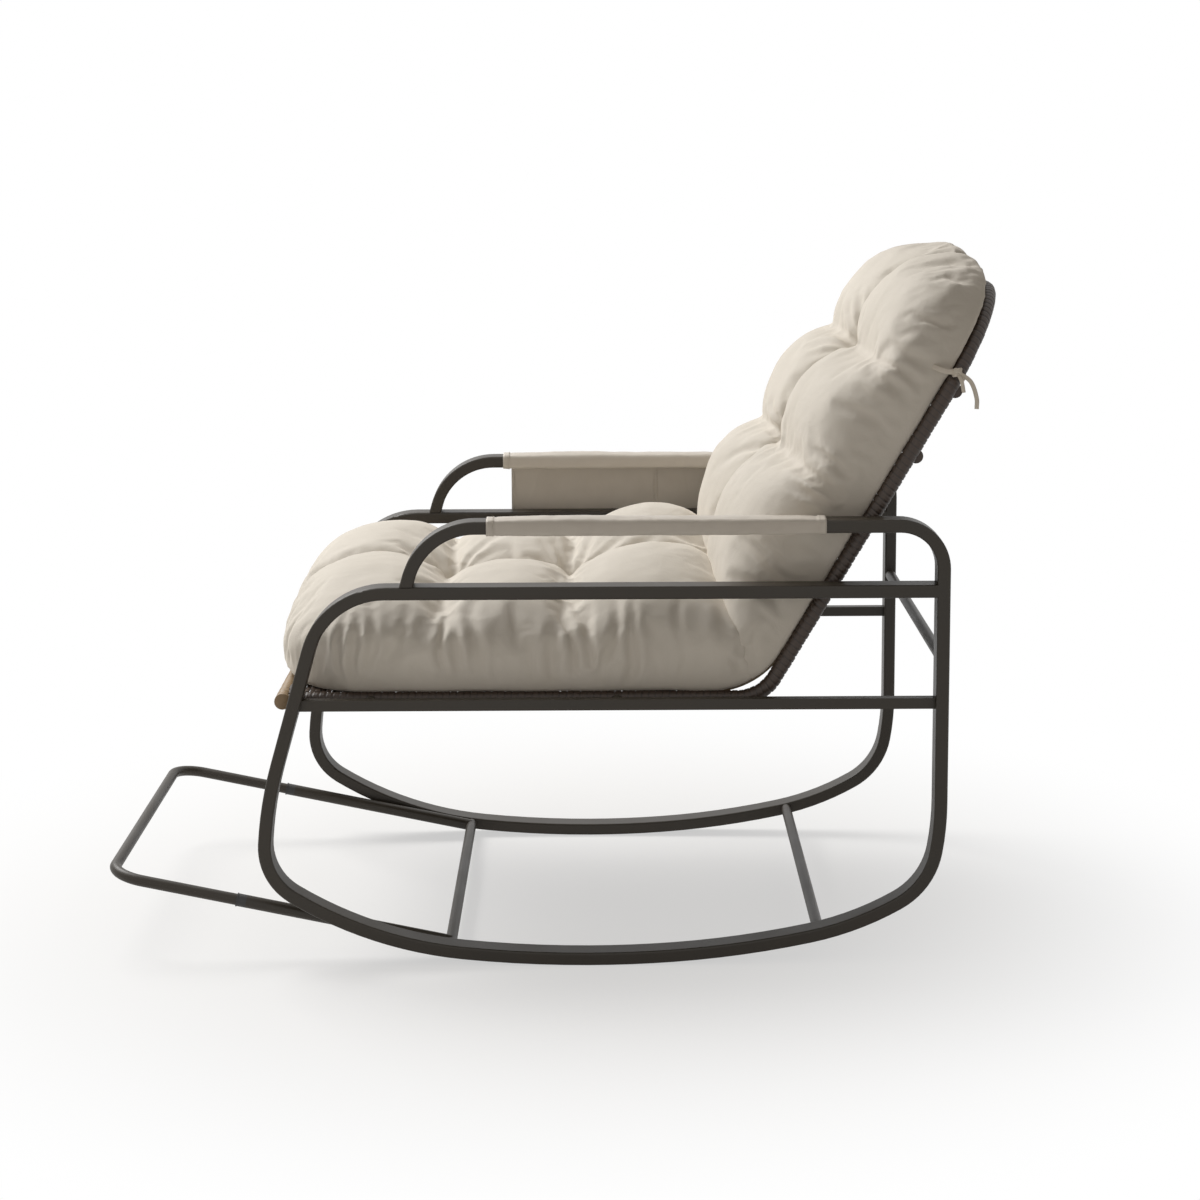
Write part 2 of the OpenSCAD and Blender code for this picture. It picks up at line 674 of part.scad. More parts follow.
// Rings joined into a closed skin, with a fan over each end
module pad_skin(rings) {
    n = len(rings);
    m = len(rings[0]);
    function middle(ring) = [for (k = [0 : 2]) sum_of(ring, k, m - 1) / m];
    function sum_of(ring, k, i) = i < 0 ? 0 : ring[i][k] + sum_of(ring, k, i - 1);
    points = concat([for (ring = rings) each ring], [middle(rings[0]), middle(rings[n - 1])]);
    skin = [
        for (j = [0 : n - 2], i = [0 : m - 1])
            let (a = j * m + i)
            let (b = j * m + (i + 1) % m)
            each [[a, b, a + m], [b, b + m, a + m]]
    ];
    caps = [
        for (i = [0 : m - 1])
            each [[n * m, (i + 1) % m, i], [n * m + 1, (n - 1) * m + i, (n - 1) * m + (i + 1) % m]]
    ];
    polyhedron(points = points, faces = concat(skin, caps));
}

module quilted(outer_rings, core_rings) {
    difference() {
        pad_skin(outer_rings);
        pad_skin(core_rings);
    }
}

// Line that the pad lies on, by its distance s along seat and back from the fold
pad_floor = wrap_r + pad_sheet_gap;
pad_corner = [hinge_y - pad_floor * tan(fold / 2), seat_z + pad_floor];
fold_sag = pad_bend_r * (1 / cos(fold / 2) - 1);
split = [pad_corner[0] - fold_sag * sin(fold / 2), pad_corner[1] + fold_sag * cos(fold / 2)];
nose_len = 140;

function seat_s(k) = pad_front_y + (split[0] - hairline - pad_front_y) * k / seat_rings;
function seat_size(k) = let (d = (seat_s(k) - pad_front_y) / nose_len) swell(1 - min(1, d), end_power);
rise_from = seat_tufts[1] + tuft_w;
function seat_crown_at(y) =
    seat_crown + (seat_rear_crown - seat_crown) * max(0, (y - rise_from) / (split[0] - rise_from));
function seat_lift(y) = let (d = y - (pad_corner[0] - pad_reach))
    d < 0 ? 0 : pad_bend_r - sqrt(pow(pad_bend_r, 2) - d * d);
function lean_in(y) =
    crease_tilt * pow(max(0, (y - seat_tufts[1]) / (split[0] - seat_tufts[1])), lean_power);

function seat_ring(k, wall) =
    let (y = seat_s(k))
    let (size = max(seat_size(k), pad_tip_share))
    pad_ring([y, pad_corner[1] + seat_lift(y)], lean_in(y), size, y, seat_crown_at(y), seat_tufts, wall);

module seat_pad() placed() color(cloth_tone)
    quilted([for (k = [0 : seat_rings]) seat_ring(k, 0)], [for (k = seat_core_rings) seat_ring(k, quilt_t)]);

// The back half starts at the fold and leans further forward until it lies square to the back
function back_base(t) = [
    pad_corner[0] + t * sin(back_tilt) - fold_gap(t) * cos(back_tilt),
    pad_corner[1] + t * cos(back_tilt) + fold_gap(t) * sin(back_tilt)
];
function fold_gap(t) = t >= pad_reach ? 0 :
    pad_bend_r - sqrt(pow(pad_bend_r, 2) - pow(pad_reach - t, 2));
split_t = fold_sag * sin(fold / 2);
pad_top = pad_end - pad_floor;
function back_t(k) = split_t + (pad_top - split_t) * k / back_rings;
function back_size(k) = let (d = (pad_top - back_t(k)) / nose_len) swell(1 - min(1, d), end_power);
function back_crown_at(t) = back_low_crown + (back_top_crown - back_low_crown) * t / pad_top;
function back_lean(t) = fold - (fold - crease_tilt) * max(0, 1 - (t - split_t) / (2 * weave_bend_r));

function back_ring(k, wall) =
    let (t = back_t(k))
    let (size = max(back_size(k), pad_tip_share))
    pad_ring(back_base(t), back_lean(t), size, t, back_crown_at(t), back_tufts, wall);

module back_pad() placed() color(cloth_tone)
    quilted([for (k = [0 : back_rings]) back_ring(k, 0)], [for (k = back_core_rings) back_ring(k, quilt_t)]);

// A covered button sits in each tuft
button_share = 1 / 6;
module pad_button() {
    button_t = button_d * button_share;
    cylinder(h = button_t, d = button_d, $fn = round_fn);
    translate([0, 0, button_t]) intersection() {
        cylinder(h = button_t, d = button_d, $fn = round_fn);
        translate([0, 0, button_t - button_d]) sphere(d = 2 * button_d, $fn = round_fn);
    }
}

module pad_buttons() placed() color(cloth_tone) {
    for (y = seat_tufts)
        translate([0, y, pad_corner[1] + seat_crown_at(y) - tuft_depth + 4 * hairline]) pad_button();
    for (t = back_tufts)
        translate([0, back_base(t)[0], back_base(t)[1]]) rotate([fold, 0, 0])
            translate([0, 0, back_crown_at(t) - tuft_depth + 4 * hairline]) pad_button();
}

// Place of a tie in the back's own frame, where the shell's side turns into the top
module on_tie(side) {
    mirror([side > 0 ? 0 : 1, 0, 0])
        translate([rim_x - top_corner_r, 0, back_len - top_corner_r]) rotate([0, -tie_turn, 0])
            translate([top_corner_r, 0, 0]) children();
}

// A tie is knotted round the shell and ends in a loose tail
module pad_tie(side) {
    on_back() on_tie(side) {
        linear_extrude(tie_w, center = true) round_ring(tie_outer_r, tie_ring_r);
        translate([tie_ring_r, 0, 0]) {
            rotate([0, 90, 0]) cylinder(h = tie_knot_r, r = tie_knot_r, $fn = round_fn);
            translate([tie_knot_r - tie_t, 0, 0]) rotate([0, tie_turn, 0]) rotate([back_tilt, 0, 0])
                translate([0, -tie_w / 2, -tie_tail]) cube([tie_t, tie_w, tie_tail]);
        }
    }
}

module pad_tie_left() placed() color(cloth_tone) pad_tie(1);
module pad_tie_right() placed() color(cloth_tone) pad_tie(-1);

// A cover is a sleeve round the arm, thicker where it is hemmed
module arm_cover(side) {
    translate([side * frame_x, cover_y, arm_z]) side_view() rotate([90, 0, 90]) {
        linear_extrude(cover_len) sleeve_section(cover_t);
        for (y = [0, cover_len - hem_len])
            translate([0, 0, y]) linear_extrude(hem_len) sleeve_section(cover_t + hairline);
    }
}

module sleeve_section(t) {
    difference() {
        rounded_bar(2 * (cover_in_t + t), 2 * (cover_in_w + t), tube_r + t);
        rounded_bar(2 * cover_in_t, 2 * cover_in_w, tube_r + hairline);
    }
}

module arm_cover_left() placed() color(cover_tone) arm_cover(1);
module arm_cover_right() placed() color(cover_tone) arm_cover(-1);

// The right cover's backing is sewn to its outer side and carries two pouches
module pocket_backing() placed() color(cover_tone)
    translate([-pouch_x - cover_t, cover_y + hem_len, arm_z - pocket_drop])
        cube([cover_t, cover_len - 2 * hem_len, pocket_drop]);

module pouch(y, length) {
    depth = pouch_room + cover_t;
    translate([-pouch_x - cover_t - depth, y, arm_z - pocket_drop]) difference() {
        cube([depth, length, pouch_h]);
        translate([cover_t, cover_t, cover_t])
            cube([depth, length - 2 * cover_t, pouch_h]);
    }
}

module pocket_pouch_front() placed() color(cover_tone) pouch(cover_y + hem_len, front_pouch_len);
module pocket_pouch_rear() placed() color(cover_tone)
    pouch(cover_y + hem_len + front_pouch_len, cover_len - 2 * hem_len - front_pouch_len);

side_loop_left();
side_loop_right();
arm_bow_left();
arm_bow_right();
seat_rail_left();
seat_rail_right();
front_stretcher();
rear_stretcher();
back_crossbar();
footrest_guide_left();
footrest_guide_right();
guide_bush_left();
guide_bush_right();
footrest_bar();
footrest_plugs();
shell_frame();
shell_front_tube();
rim_wrap();
front_wrap();
seat_weave();
bend_weave();
back_weave();
seat_bearer_front();
seat_bearer_middle();
seat_bearer_rear();
back_bearer();
back_bar_upper();
back_bar_lower();
shell_spacers();
shell_washers();
shell_bolts();
seat_pad();
back_pad();
pad_buttons();
pad_tie_left();
pad_tie_right();
arm_cover_left();
arm_cover_right();
pocket_backing();
pocket_pouch_front();
pocket_pouch_rear();
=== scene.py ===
# Rocking lounge chair with a woven shell, tufted pad, arm covers and a footrest
import bpy
import json
import math
import random
import numpy as np
from mathutils import Matrix, Vector, noise


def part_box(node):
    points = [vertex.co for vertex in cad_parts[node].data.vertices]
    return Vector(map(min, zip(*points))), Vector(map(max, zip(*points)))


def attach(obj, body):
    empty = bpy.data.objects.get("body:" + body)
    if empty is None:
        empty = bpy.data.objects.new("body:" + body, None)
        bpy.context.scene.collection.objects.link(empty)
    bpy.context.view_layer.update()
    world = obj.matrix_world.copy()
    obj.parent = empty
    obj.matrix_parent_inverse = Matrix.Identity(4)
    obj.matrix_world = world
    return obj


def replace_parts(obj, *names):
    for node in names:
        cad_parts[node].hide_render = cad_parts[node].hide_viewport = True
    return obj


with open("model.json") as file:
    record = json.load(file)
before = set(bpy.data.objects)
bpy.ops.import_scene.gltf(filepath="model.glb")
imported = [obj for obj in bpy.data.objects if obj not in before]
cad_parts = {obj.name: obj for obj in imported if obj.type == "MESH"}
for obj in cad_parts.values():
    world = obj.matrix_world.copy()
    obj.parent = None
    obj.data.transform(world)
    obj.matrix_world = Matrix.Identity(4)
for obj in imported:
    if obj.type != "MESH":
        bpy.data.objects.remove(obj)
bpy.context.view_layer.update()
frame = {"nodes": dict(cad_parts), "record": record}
record = frame["record"]
print("frame loaded", len(frame["nodes"]), "nodes")

# Lines of the chair, in metres: X = 0 between the side frames, Y = 0 over the runners' lowest point
chair = {
    "rimX": 0.281, "frontY": -0.423, "seatZ": 0.368, "hingeY": 0.241, "backTilt": math.radians(30.5),
    "backLength": 0.642, "sideBend": 0.060, "topCorner": 0.170, "weaveBend": 0.115,
    "wrapR": 0.011, "armX": 0.312, "armZ": 0.616, "tubeWide": 0.036, "tubeThick": 0.018,
}
noseLow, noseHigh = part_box("shell_front_tube")
home = Vector(((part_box("side_loop_left")[1].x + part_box("side_loop_right")[0].x) / 2,
               (noseLow.y + noseHigh.y) / 2 - chair["frontY"], 0))  # from the chair's own lines to the frame's
tiltSin, tiltCos = math.sin(chair["backTilt"]), math.cos(chair["backTilt"])
foldAngle = math.pi / 2 - chair["backTilt"]


def onBack(x, rear, up):  # a point given in the leaning back's own frame
    return Vector((x, chair["hingeY"] + rear * tiltCos + up * tiltSin,
                   chair["seatZ"] - rear * tiltSin + up * tiltCos))


def hexColor(text):  # sRGB hex to linear
    parts = [int(text[i:i + 2], 16) / 255 for i in (1, 3, 5)]
    return tuple(c / 12.92 if c <= 0.04045 else ((c + 0.055) / 1.055) ** 2.4 for c in parts) + (1.0,)


def addNode(tree, kind, settings=None, links=None):
    node = tree.nodes.new("ShaderNode" + kind)
    for key, value in (settings or {}).items():
        if isinstance(key, str) and hasattr(node, key):
            setattr(node, key, value)
        else:
            node.inputs[key].default_value = value
    for key, source in (links or {}).items():
        tree.links.new(source, node.inputs[key])
    return node


def startMaterial(name, settings):
    material = bpy.data.materials.new(name)
    material.use_nodes = True
    tree = material.node_tree
    tree.nodes.clear()
    surface = addNode(tree, "BsdfPrincipled", settings)
    addNode(tree, "OutputMaterial", links={"Surface": surface.outputs["BSDF"]})
    place = addNode(tree, "TexCoord").outputs["Object"]
    return material, tree, surface, place


def joinSurface(material, surface, tone, gloss=None, bump=None):  # the last node of each kind goes to the shader
    links = material.node_tree.links
    links.new(tone.outputs[2], surface.inputs["Base Color"])
    if gloss:
        links.new(gloss.outputs["Result"], surface.inputs["Roughness"])
    if bump:
        links.new(bump.outputs["Normal"], surface.inputs["Normal"])
    return material


# Polyester powder coat on bent steel tube, dark bronze: even colour, fine orange peel, soft highlights
def powderCoat(name, light, dark, roughness):
    material, tree, surface, place = startMaterial(name, {
        "Metallic": 0.0, "IOR": 1.42, "Coat Weight": 0.05, "Coat Roughness": 0.35})
    cloudy = addNode(tree, "TexNoise", {"Scale": 1 / 0.09, "Detail": 4.0}, {"Vector": place})  # 90 mm clouds
    grain = addNode(tree, "TexNoise", {"Scale": 1 / 0.0014, "Detail": 2.0}, {"Vector": place})  # 1.4 mm peel
    tone = addNode(tree, "Mix", {"data_type": "RGBA", 6: hexColor(dark), 7: hexColor(light)},
                   {0: cloudy.outputs["Fac"]})
    gloss = addNode(tree, "MapRange", {"To Min": roughness - 0.07, "To Max": roughness + 0.1},
                    {"Value": cloudy.outputs["Fac"]})
    bump = addNode(tree, "Bump", {"Strength": 0.22, "Distance": 0.0002}, {"Height": grain.outputs["Fac"]})
    return joinSurface(material, surface, tone, gloss, bump)


# Extruded resin strand made to look like cane: streaks along the strand, dull wax shine
def resinStrand(name, light, mid, dark, roughness):
    material, tree, surface, place = startMaterial(name, {"IOR": 1.5, "Roughness": roughness})
    run = addNode(tree, "UVMap").outputs["UV"]  # metres along and across the strand
    along = addNode(tree, "Mapping", {"Scale": (1 / 0.05, 1 / 0.0009, 1.0)}, {"Vector": run})  # 50 x 0.9 mm streaks
    streak = addNode(tree, "TexNoise", {"Scale": 1.0, "Detail": 3.0, "Distortion": 0.3},
                     {"Vector": along.outputs["Vector"]})
    patch = addNode(tree, "TexNoise", {"Scale": 1 / 0.035, "Detail": 3.0}, {"Vector": place})  # 35 mm patches
    fine = addNode(tree, "Mix", {"data_type": "RGBA", 6: hexColor(dark), 7: hexColor(light)},
                   {0: streak.outputs["Fac"]})
    tone = addNode(tree, "Mix", {"data_type": "RGBA", 7: hexColor(mid)},
                   {0: patch.outputs["Fac"], 6: fine.outputs[2]})
    split = addNode(tree, "SeparateXYZ", links={"Vector": run})
    edge = addNode(tree, "MapRange", {"interpolation_type": "SMOOTHSTEP", "From Min": 0.0002, "From Max": 0.0019,
                                                "To Min": 0.88, "To Max": 0.0}, {"Value": split.outputs["Y"]})
    grooveShaded = addNode(tree, "Mix", {"data_type": "RGBA", 7: hexColor(dark)},
                     {0: edge.outputs["Result"], 6: tone.outputs[2]})  # painted shade darkening the groove between the strand's turns
    bump = addNode(tree, "Bump", {"Strength": 0.35, "Distance": 0.0003}, {"Height": streak.outputs["Fac"]})
    return joinSurface(material, surface, grooveShaded, bump=bump)


# Brushed polyester cloth: matte, a light nap that brightens at grazing angles. Its plain weave is finer than
# the render shows, so it is drawn 1.3 mm wide; a band of the wave texture is 0.314 / scale wide
def brushedCloth(name, light, dark, pucker):
    material, tree, surface, place = startMaterial(name, {
        "IOR": 1.45, "Roughness": 0.92, "Sheen Weight": 0.22, "Sheen Roughness": 0.45,
        "Sheen Tint": hexColor("#fff6ea")})
    cloudy = addNode(tree, "TexNoise", {"Scale": 1 / 0.11, "Detail": 5.0}, {"Vector": place})
    nap = addNode(tree, "TexNoise", {"Scale": 1 / 0.0022, "Detail": 3.0}, {"Vector": place})  # 2.2 mm tufts of nap
    warp = addNode(tree, "TexWave", {"bands_direction": "X", "Scale": 0.314 / 0.0013}, {"Vector": place})
    weft = addNode(tree, "TexWave", {"bands_direction": "Z", "Scale": 0.314 / 0.0013}, {"Vector": place})
    weave = addNode(tree, "Math", {"operation": "MULTIPLY"}, {0: warp.outputs["Fac"], 1: weft.outputs["Fac"]})
    crumple = addNode(tree, "TexNoise", {"Scale": 1 / 0.03, "Detail": 4.0, "Distortion": 0.6},
                      {"Vector": place})  # small creases of 30 mm
    tone = addNode(tree, "Mix", {"data_type": "RGBA", 6: hexColor(dark), 7: hexColor(light)},
                   {0: cloudy.outputs["Fac"]})
    wide = addNode(tree, "Bump", {"Strength": pucker, "Distance": 0.004}, {"Height": crumple.outputs["Fac"]})
    fluff = addNode(tree, "Bump", {"Strength": 0.25, "Distance": 0.0006},
                    {"Height": nap.outputs["Fac"], "Normal": wide.outputs["Normal"]})
    thread = addNode(tree, "Bump", {"Strength": 0.2, "Distance": 0.0003},
                     {"Height": weave.outputs["Value"], "Normal": fluff.outputs["Normal"]})
    return joinSurface(material, surface, tone, bump=thread)


# Polyurethane-coated cloth: smooth, slightly shiny, with paler marbling where it has creased
def coatedCloth(name, light, mid, dark):
    material, tree, surface, place = startMaterial(name, {"IOR": 1.48, "Coat Weight": 0.08, "Coat Roughness": 0.35})
    slant = addNode(tree, "Mapping", {"Rotation": (0.6, 0.3, 0.9), "Scale": (1.0, 2.2, 1.0)}, {"Vector": place})
    marble = addNode(tree, "TexNoise",
                     {"noise_type": "RIDGED_MULTIFRACTAL", "Scale": 1 / 0.055, "Detail": 5.0, "Distortion": 0.8},
                     {"Vector": slant.outputs["Vector"]})
    cloudy = addNode(tree, "TexNoise", {"Scale": 1 / 0.03, "Detail": 4.0}, {"Vector": place})
    grain = addNode(tree, "TexVoronoi", {"Scale": 1 / 0.0012}, {"Vector": place})  # 1.2 mm grain of the coating
    base = addNode(tree, "Mix", {"data_type": "RGBA", 6: hexColor(dark), 7: hexColor(mid)},
                   {0: cloudy.outputs["Fac"]})
    vein = addNode(tree, "MapRange", {"From Min": 0.55, "From Max": 1.25, "To Max": 0.75},
                   {"Value": marble.outputs["Fac"]})
    tone = addNode(tree, "Mix", {"data_type": "RGBA", 7: hexColor(light)},
                   {0: vein.outputs["Result"], 6: base.outputs[2]})
    gloss = addNode(tree, "MapRange", {"To Min": 0.42, "To Max": 0.62}, {"Value": cloudy.outputs["Fac"]})
    crease = addNode(tree, "Bump", {"Strength": 0.4, "Distance": 0.0015}, {"Height": marble.outputs["Fac"]})
    skin = addNode(tree, "Bump", {"Strength": 0.15, "Distance": 0.0002},
                   {"Height": grain.outputs["Distance"], "Normal": crease.outputs["Normal"]})
    return joinSurface(material, surface, tone, gloss, skin)


# Injection-moulded nylon, black: satin, faint sink marks
def mouldedNylon(name, light, dark):
    material, tree, surface, place = startMaterial(name, {"IOR": 1.53})
    speck = addNode(tree, "TexNoise", {"Scale": 1 / 0.004, "Detail": 3.0}, {"Vector": place})
    tone = addNode(tree, "Mix", {"data_type": "RGBA", 6: hexColor(dark), 7: hexColor(light)},
                   {0: speck.outputs["Fac"]})
    gloss = addNode(tree, "MapRange", {"To Min": 0.4, "To Max": 0.6}, {"Value": speck.outputs["Fac"]})
    return joinSurface(material, surface, tone, gloss)


# Zinc-plated steel: bluish grey, fine brushed scatter
def zincPlate(name):
    material, tree, surface, place = startMaterial(name, {"Metallic": 1.0})
    speck = addNode(tree, "TexNoise", {"Scale": 1 / 0.003, "Detail": 4.0}, {"Vector": place})
    tone = addNode(tree, "Mix", {"data_type": "RGBA", 6: hexColor("#8f9092"), 7: hexColor("#b9babb")},
                   {0: speck.outputs["Fac"]})
    gloss = addNode(tree, "MapRange", {"To Min": 0.28, "To Max": 0.45}, {"Value": speck.outputs["Fac"]})
    return joinSurface(material, surface, tone, gloss)


framePaint = powderCoat("bronzePowderCoat", "#332c22", "#282219", 0.44)
shellPaint = powderCoat("shellTubePowderCoat", "#46392d", "#392e25", 0.5)
wickerBrown = resinStrand("brownResinStrand", "#4d3a2b", "#33251a", "#1b120b", 0.48)
wickerTan = resinStrand("tanResinStrand", "#ab9272", "#8d7657", "#6d573d", 0.5)
wickerOlive = resinStrand("oliveResinStrand", "#857557", "#6a5c42", "#51442f", 0.5)
padCloth = brushedCloth("ivoryBrushedPolyester", "#dcd6cd", "#cfc9be", 0.3)
tieCloth = brushedCloth("ivoryTieTape", "#e4ddd2", "#d6cdc0", 0.1)
coverCloth = coatedCloth("taupeCoatedCloth", "#e0dad1", "#cdc6bc", "#c0b8ad")
coverThread = brushedCloth("palePolyesterThread", "#d6cfc4", "#c8c0b4", 0.05)
bushNylon = mouldedNylon("blackMouldedNylon", "#2a2826", "#1b1a19")
boltZinc = zincPlate("zincPlatedSteel")

finishOf = {
    "frame_paint": framePaint, "shell_steel": shellPaint, "wicker_tube": shellPaint, "bolt_steel": boltZinc,
    "bush_plastic": bushNylon, "wicker": wickerBrown, "front_wicker": wickerTan,
    "pad_cloth": padCloth, "cover_cloth": coverCloth,
}
slotOf = {part["node"]: part["material_slot"] for part in record["subparts"]}
for nodeName, slotName in slotOf.items():
    for materialSlot in bpy.data.objects[nodeName].material_slots:
        materialSlot.material = finishOf[slotName]
print("materials made")


def makePiece(name, points, faces, material, uvs=None):  # every piece made here rides on the frame
    mesh = bpy.data.meshes.new(name)
    mesh.from_pydata([tuple(Vector(p) + home) for p in points], [], faces)
    mesh.validate()
    if uvs is not None:
        layer = mesh.uv_layers.new(name="UVMap")
        layer.data.foreach_set("uv", np.array(uvs, np.float32).ravel())
    mesh.shade_smooth()
    piece = bpy.data.objects.new(name, mesh)
    bpy.context.scene.collection.objects.link(piece)
    mesh.materials.append(material)
    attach(piece, "frame")
    return piece


def ringFaces(start, rings, around):  # quads between closed rings of points that follow each other
    faces = []
    for i in range(rings - 1):
        for j in range(around):
            a, b = start + i * around + j, start + i * around + (j + 1) % around
            faces.append((a, b, b + around, a + around))
    return faces


def filletPath(corners, radii, step):  # a path with rounded corners and even steps
    corners = [Vector(c) for c in corners]
    path = [corners[0]]
    for i in range(1, len(corners) - 1):
        before, corner, after = corners[i - 1], corners[i], corners[i + 1]
        inward, outward = (before - corner).normalized(), (after - corner).normalized()
        half = inward.angle(outward) / 2
        reach = radii[i - 1] / math.tan(half)
        centre = corner + (inward + outward).normalized() * radii[i - 1] / math.sin(half)
        start, end = corner + inward * reach - centre, corner + outward * reach - centre
        turn = start.angle(end)
        count = max(4, round(turn * radii[i - 1] / step))
        for k in range(count + 1):
            share = k / count
            path.append(centre + (start * math.sin((1 - share) * turn) + end * math.sin(share * turn)) / math.sin(turn))
    path.append(corners[-1])
    return resample(path, step)


def resample(path, step):
    points = np.array([tuple(p) for p in path])
    lengths = np.concatenate([[0], np.cumsum(np.linalg.norm(np.diff(points, axis=0), axis=1))])
    count = max(2, round(lengths[-1] / step))
    places = np.linspace(0, lengths[-1], count + 1)
    return np.stack([np.interp(places, lengths, points[:, i]) for i in range(3)], axis=1)


def pathFrames(points):  # tangent, side and up at each point, without twist
    tangents = np.gradient(points, axis=0)
    tangents /= np.linalg.norm(tangents, axis=1)[:, None]
    up = np.array((0.0, 0.0, 1.0))
    sides, ups = [], []
    for t in tangents:
        up = up - t * np.dot(up, t)
        up /= np.linalg.norm(up)
        ups.append(up)
        sides.append(np.cross(t, up))
    return tangents, np.array(sides), np.array(ups)


# Tubes wrapped with one strand of 9.5 mm, grooved between its turns and with a line down its middle
wrapping = {"pitch": 0.0095, "ringsPerPitch": 6, "sides": 20, "groove": 0.0009, "uneven": 0.00025,
            "capDepth": 0.0015, "profile": [-1.3, -0.15, 0.0, -0.3, 0.0, -0.15]}


def wrappedTube(name, corners, radii, radius, material, seed, capEnds=False):
    pitch, rings, sides = wrapping["pitch"], wrapping["ringsPerPitch"], wrapping["sides"]
    step = pitch / rings
    points = filletPath(corners, radii, step)
    step = np.linalg.norm(points[1] - points[0])
    tangents, sideways, ups = pathFrames(points)
    count = len(points)
    rng = random.Random(seed)
    jitter = [rng.uniform(-wrapping["uneven"], wrapping["uneven"]) for _ in range(count // rings + 3)]
    verts, uvs = [], {}
    for i in range(count):
        for j in range(sides):
            angle = 2 * math.pi * j / sides
            shift = j / sides * pitch  # each strand climbs one pitch per turn
            along = min(max(i * step + shift, 0), (count - 1) * step)
            index = min(along / step, count - 1.001)
            low, mix = int(index), index - int(index)
            centre = points[low] * (1 - mix) + points[low + 1] * mix
            side, up = sideways[low], ups[low]
            r = radius + wrapping["groove"] * wrapping["profile"][i % rings] + jitter[i // rings]
            verts.append(tuple(centre + (side * math.cos(angle) + up * math.sin(angle)) * r))
            uvs[len(verts) - 1] = ((i // rings + j / sides) * 2 * math.pi * radius, (i % rings) / rings * pitch)
    faces, faceUvs = [], []
    for i in range(count - 1):
        for j in range(sides):
            a, d = i * sides + j, (i + 1) * sides + j
            if j < sides - 1:
                quad = (a, a + 1, d + 1, d)
            else:
                if i + rings + 1 >= count:
                    continue
                quad = (a, (i + rings) * sides, (i + rings + 1) * sides, d)
            faces.append(quad[::-1])
            base = np.array(uvs[a])
            faceUvs += [base + (0, step), base + (0.0035, step), base + (0.0035, 0), base]
    if capEnds:
        for end, order in ((0, 1), (count - 1, -1)):
            axis = tangents[end] * wrapping["capDepth"] * -order
            ring = []
            for share in (1.0, 0.8, 0.0):
                start = len(verts)
                for j in range(sides if share else 1):
                    angle = 2 * math.pi * j / sides
                    spot = points[end] + axis * (1.2 - share) * 2
                    spot = spot + (sideways[end] * math.cos(angle) + ups[end] * math.sin(angle)) * radius * share
                    verts.append(tuple(spot))
                ring.append(start)
            for j in range(sides):
                k = (j + 1) % sides
                quad = (ring[0] + j, ring[0] + k, ring[1] + k, ring[1] + j)
                faces.append(quad[::order])
                faces.append((ring[1] + j, ring[1] + k, ring[2])[::order])
                faceUvs += [(0.01, 0.01)] * 7
    return makePiece(name, verts, faces, material, uvs=faceUvs)


rimX, seatZ, frontY = chair["rimX"], chair["seatZ"], chair["frontY"]
wrapR = chair["wrapR"]
topLine = chair["backLength"]
rim = wrappedTube(
    "shellRimWrap",
    [(rimX, frontY + wrapR, seatZ), (rimX, chair["hingeY"], seatZ), onBack(rimX, 0, topLine),
     onBack(-rimX, 0, topLine), (-rimX, chair["hingeY"], seatZ), (-rimX, frontY + wrapR, seatZ)],
    [chair["sideBend"], chair["topCorner"], chair["topCorner"], chair["sideBend"]],
    wrapR, wickerBrown, 3)
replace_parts(rim, "rim_wrap")
front = wrappedTube(
    "shellFrontWrap", [(-rimX - wrapR, frontY, seatZ), (rimX + wrapR, frontY, seatZ)], [],
    wrapR, wickerTan, 5, capEnds=True)
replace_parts(front, "front_wrap")
backBars = {"upper": 0.500, "lower": 0.396, "radius": 0.010, "rear": 0.010, "short": 0.006}
for name in ("upper", "lower"):
    up = backBars[name]
    rise = max(0, up - (topLine - chair["topCorner"]))
    half = rimX - chair["topCorner"] + math.sqrt(chair["topCorner"] ** 2 - rise ** 2) - backBars["short"]
    ends = [onBack(side * half, backBars["rear"], up) for side in (-1, 1)]
    bar = wrappedTube("backBar%sWrap" % name.title(), ends, [], backBars["radius"], wickerBrown, 7,
                      capEnds=True)
    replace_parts(bar, "back_bar_" + name)
print("wrapping made")

# Over-and-under weave of flat strands, 8.2 mm wide, on stakes of 30 mm pitch that run up the shell
weave = {"pitch": 0.0076, "width": 0.0082, "thick": 0.0013, "sway": 0.0012, "stakePitch": 0.030, "inset": 0.0055,
         "stakeStep": 0.012, "uneven": 0.0003, "stakeWide": 0.72}
weaveZ = seatZ + wrapR - 0.002  # middle of the 4 mm sheet
cornerY = chair["hingeY"] - (wrapR - 0.002) * math.tan(foldAngle / 2)
bendR = chair["weaveBend"] + 0.002
bendReach = bendR * math.tan(foldAngle / 2)


def weaveLine(s):  # point and normal of the sheet's middle at distance s from the corner
    if s < -bendReach:
        return Vector((0, cornerY + s, weaveZ)), Vector((0, 0, 1))
    bendLength = bendR * foldAngle
    if s < -bendReach + bendLength:
        angle = (s + bendReach) / bendR
        return (Vector((0, cornerY - bendReach + bendR * math.sin(angle), weaveZ + bendR * (1 - math.cos(angle)))),
                Vector((0, -math.sin(angle), math.cos(angle))))
    rest = s + bendReach - bendLength + bendReach
    return (Vector((0, cornerY + rest * tiltSin, weaveZ + rest * tiltCos)), Vector((0, -tiltCos, tiltSin)))


def weaveHalf(up):  # half width, narrower at the back's top corners
    half = rimX - weave["inset"]
    rise = up - (topLine - chair["topCorner"])
    if rise > 0:
        corner = chair["topCorner"] - weave["inset"]
        return rimX - chair["topCorner"] + math.sqrt(max(0, corner ** 2 - rise ** 2))
    return half


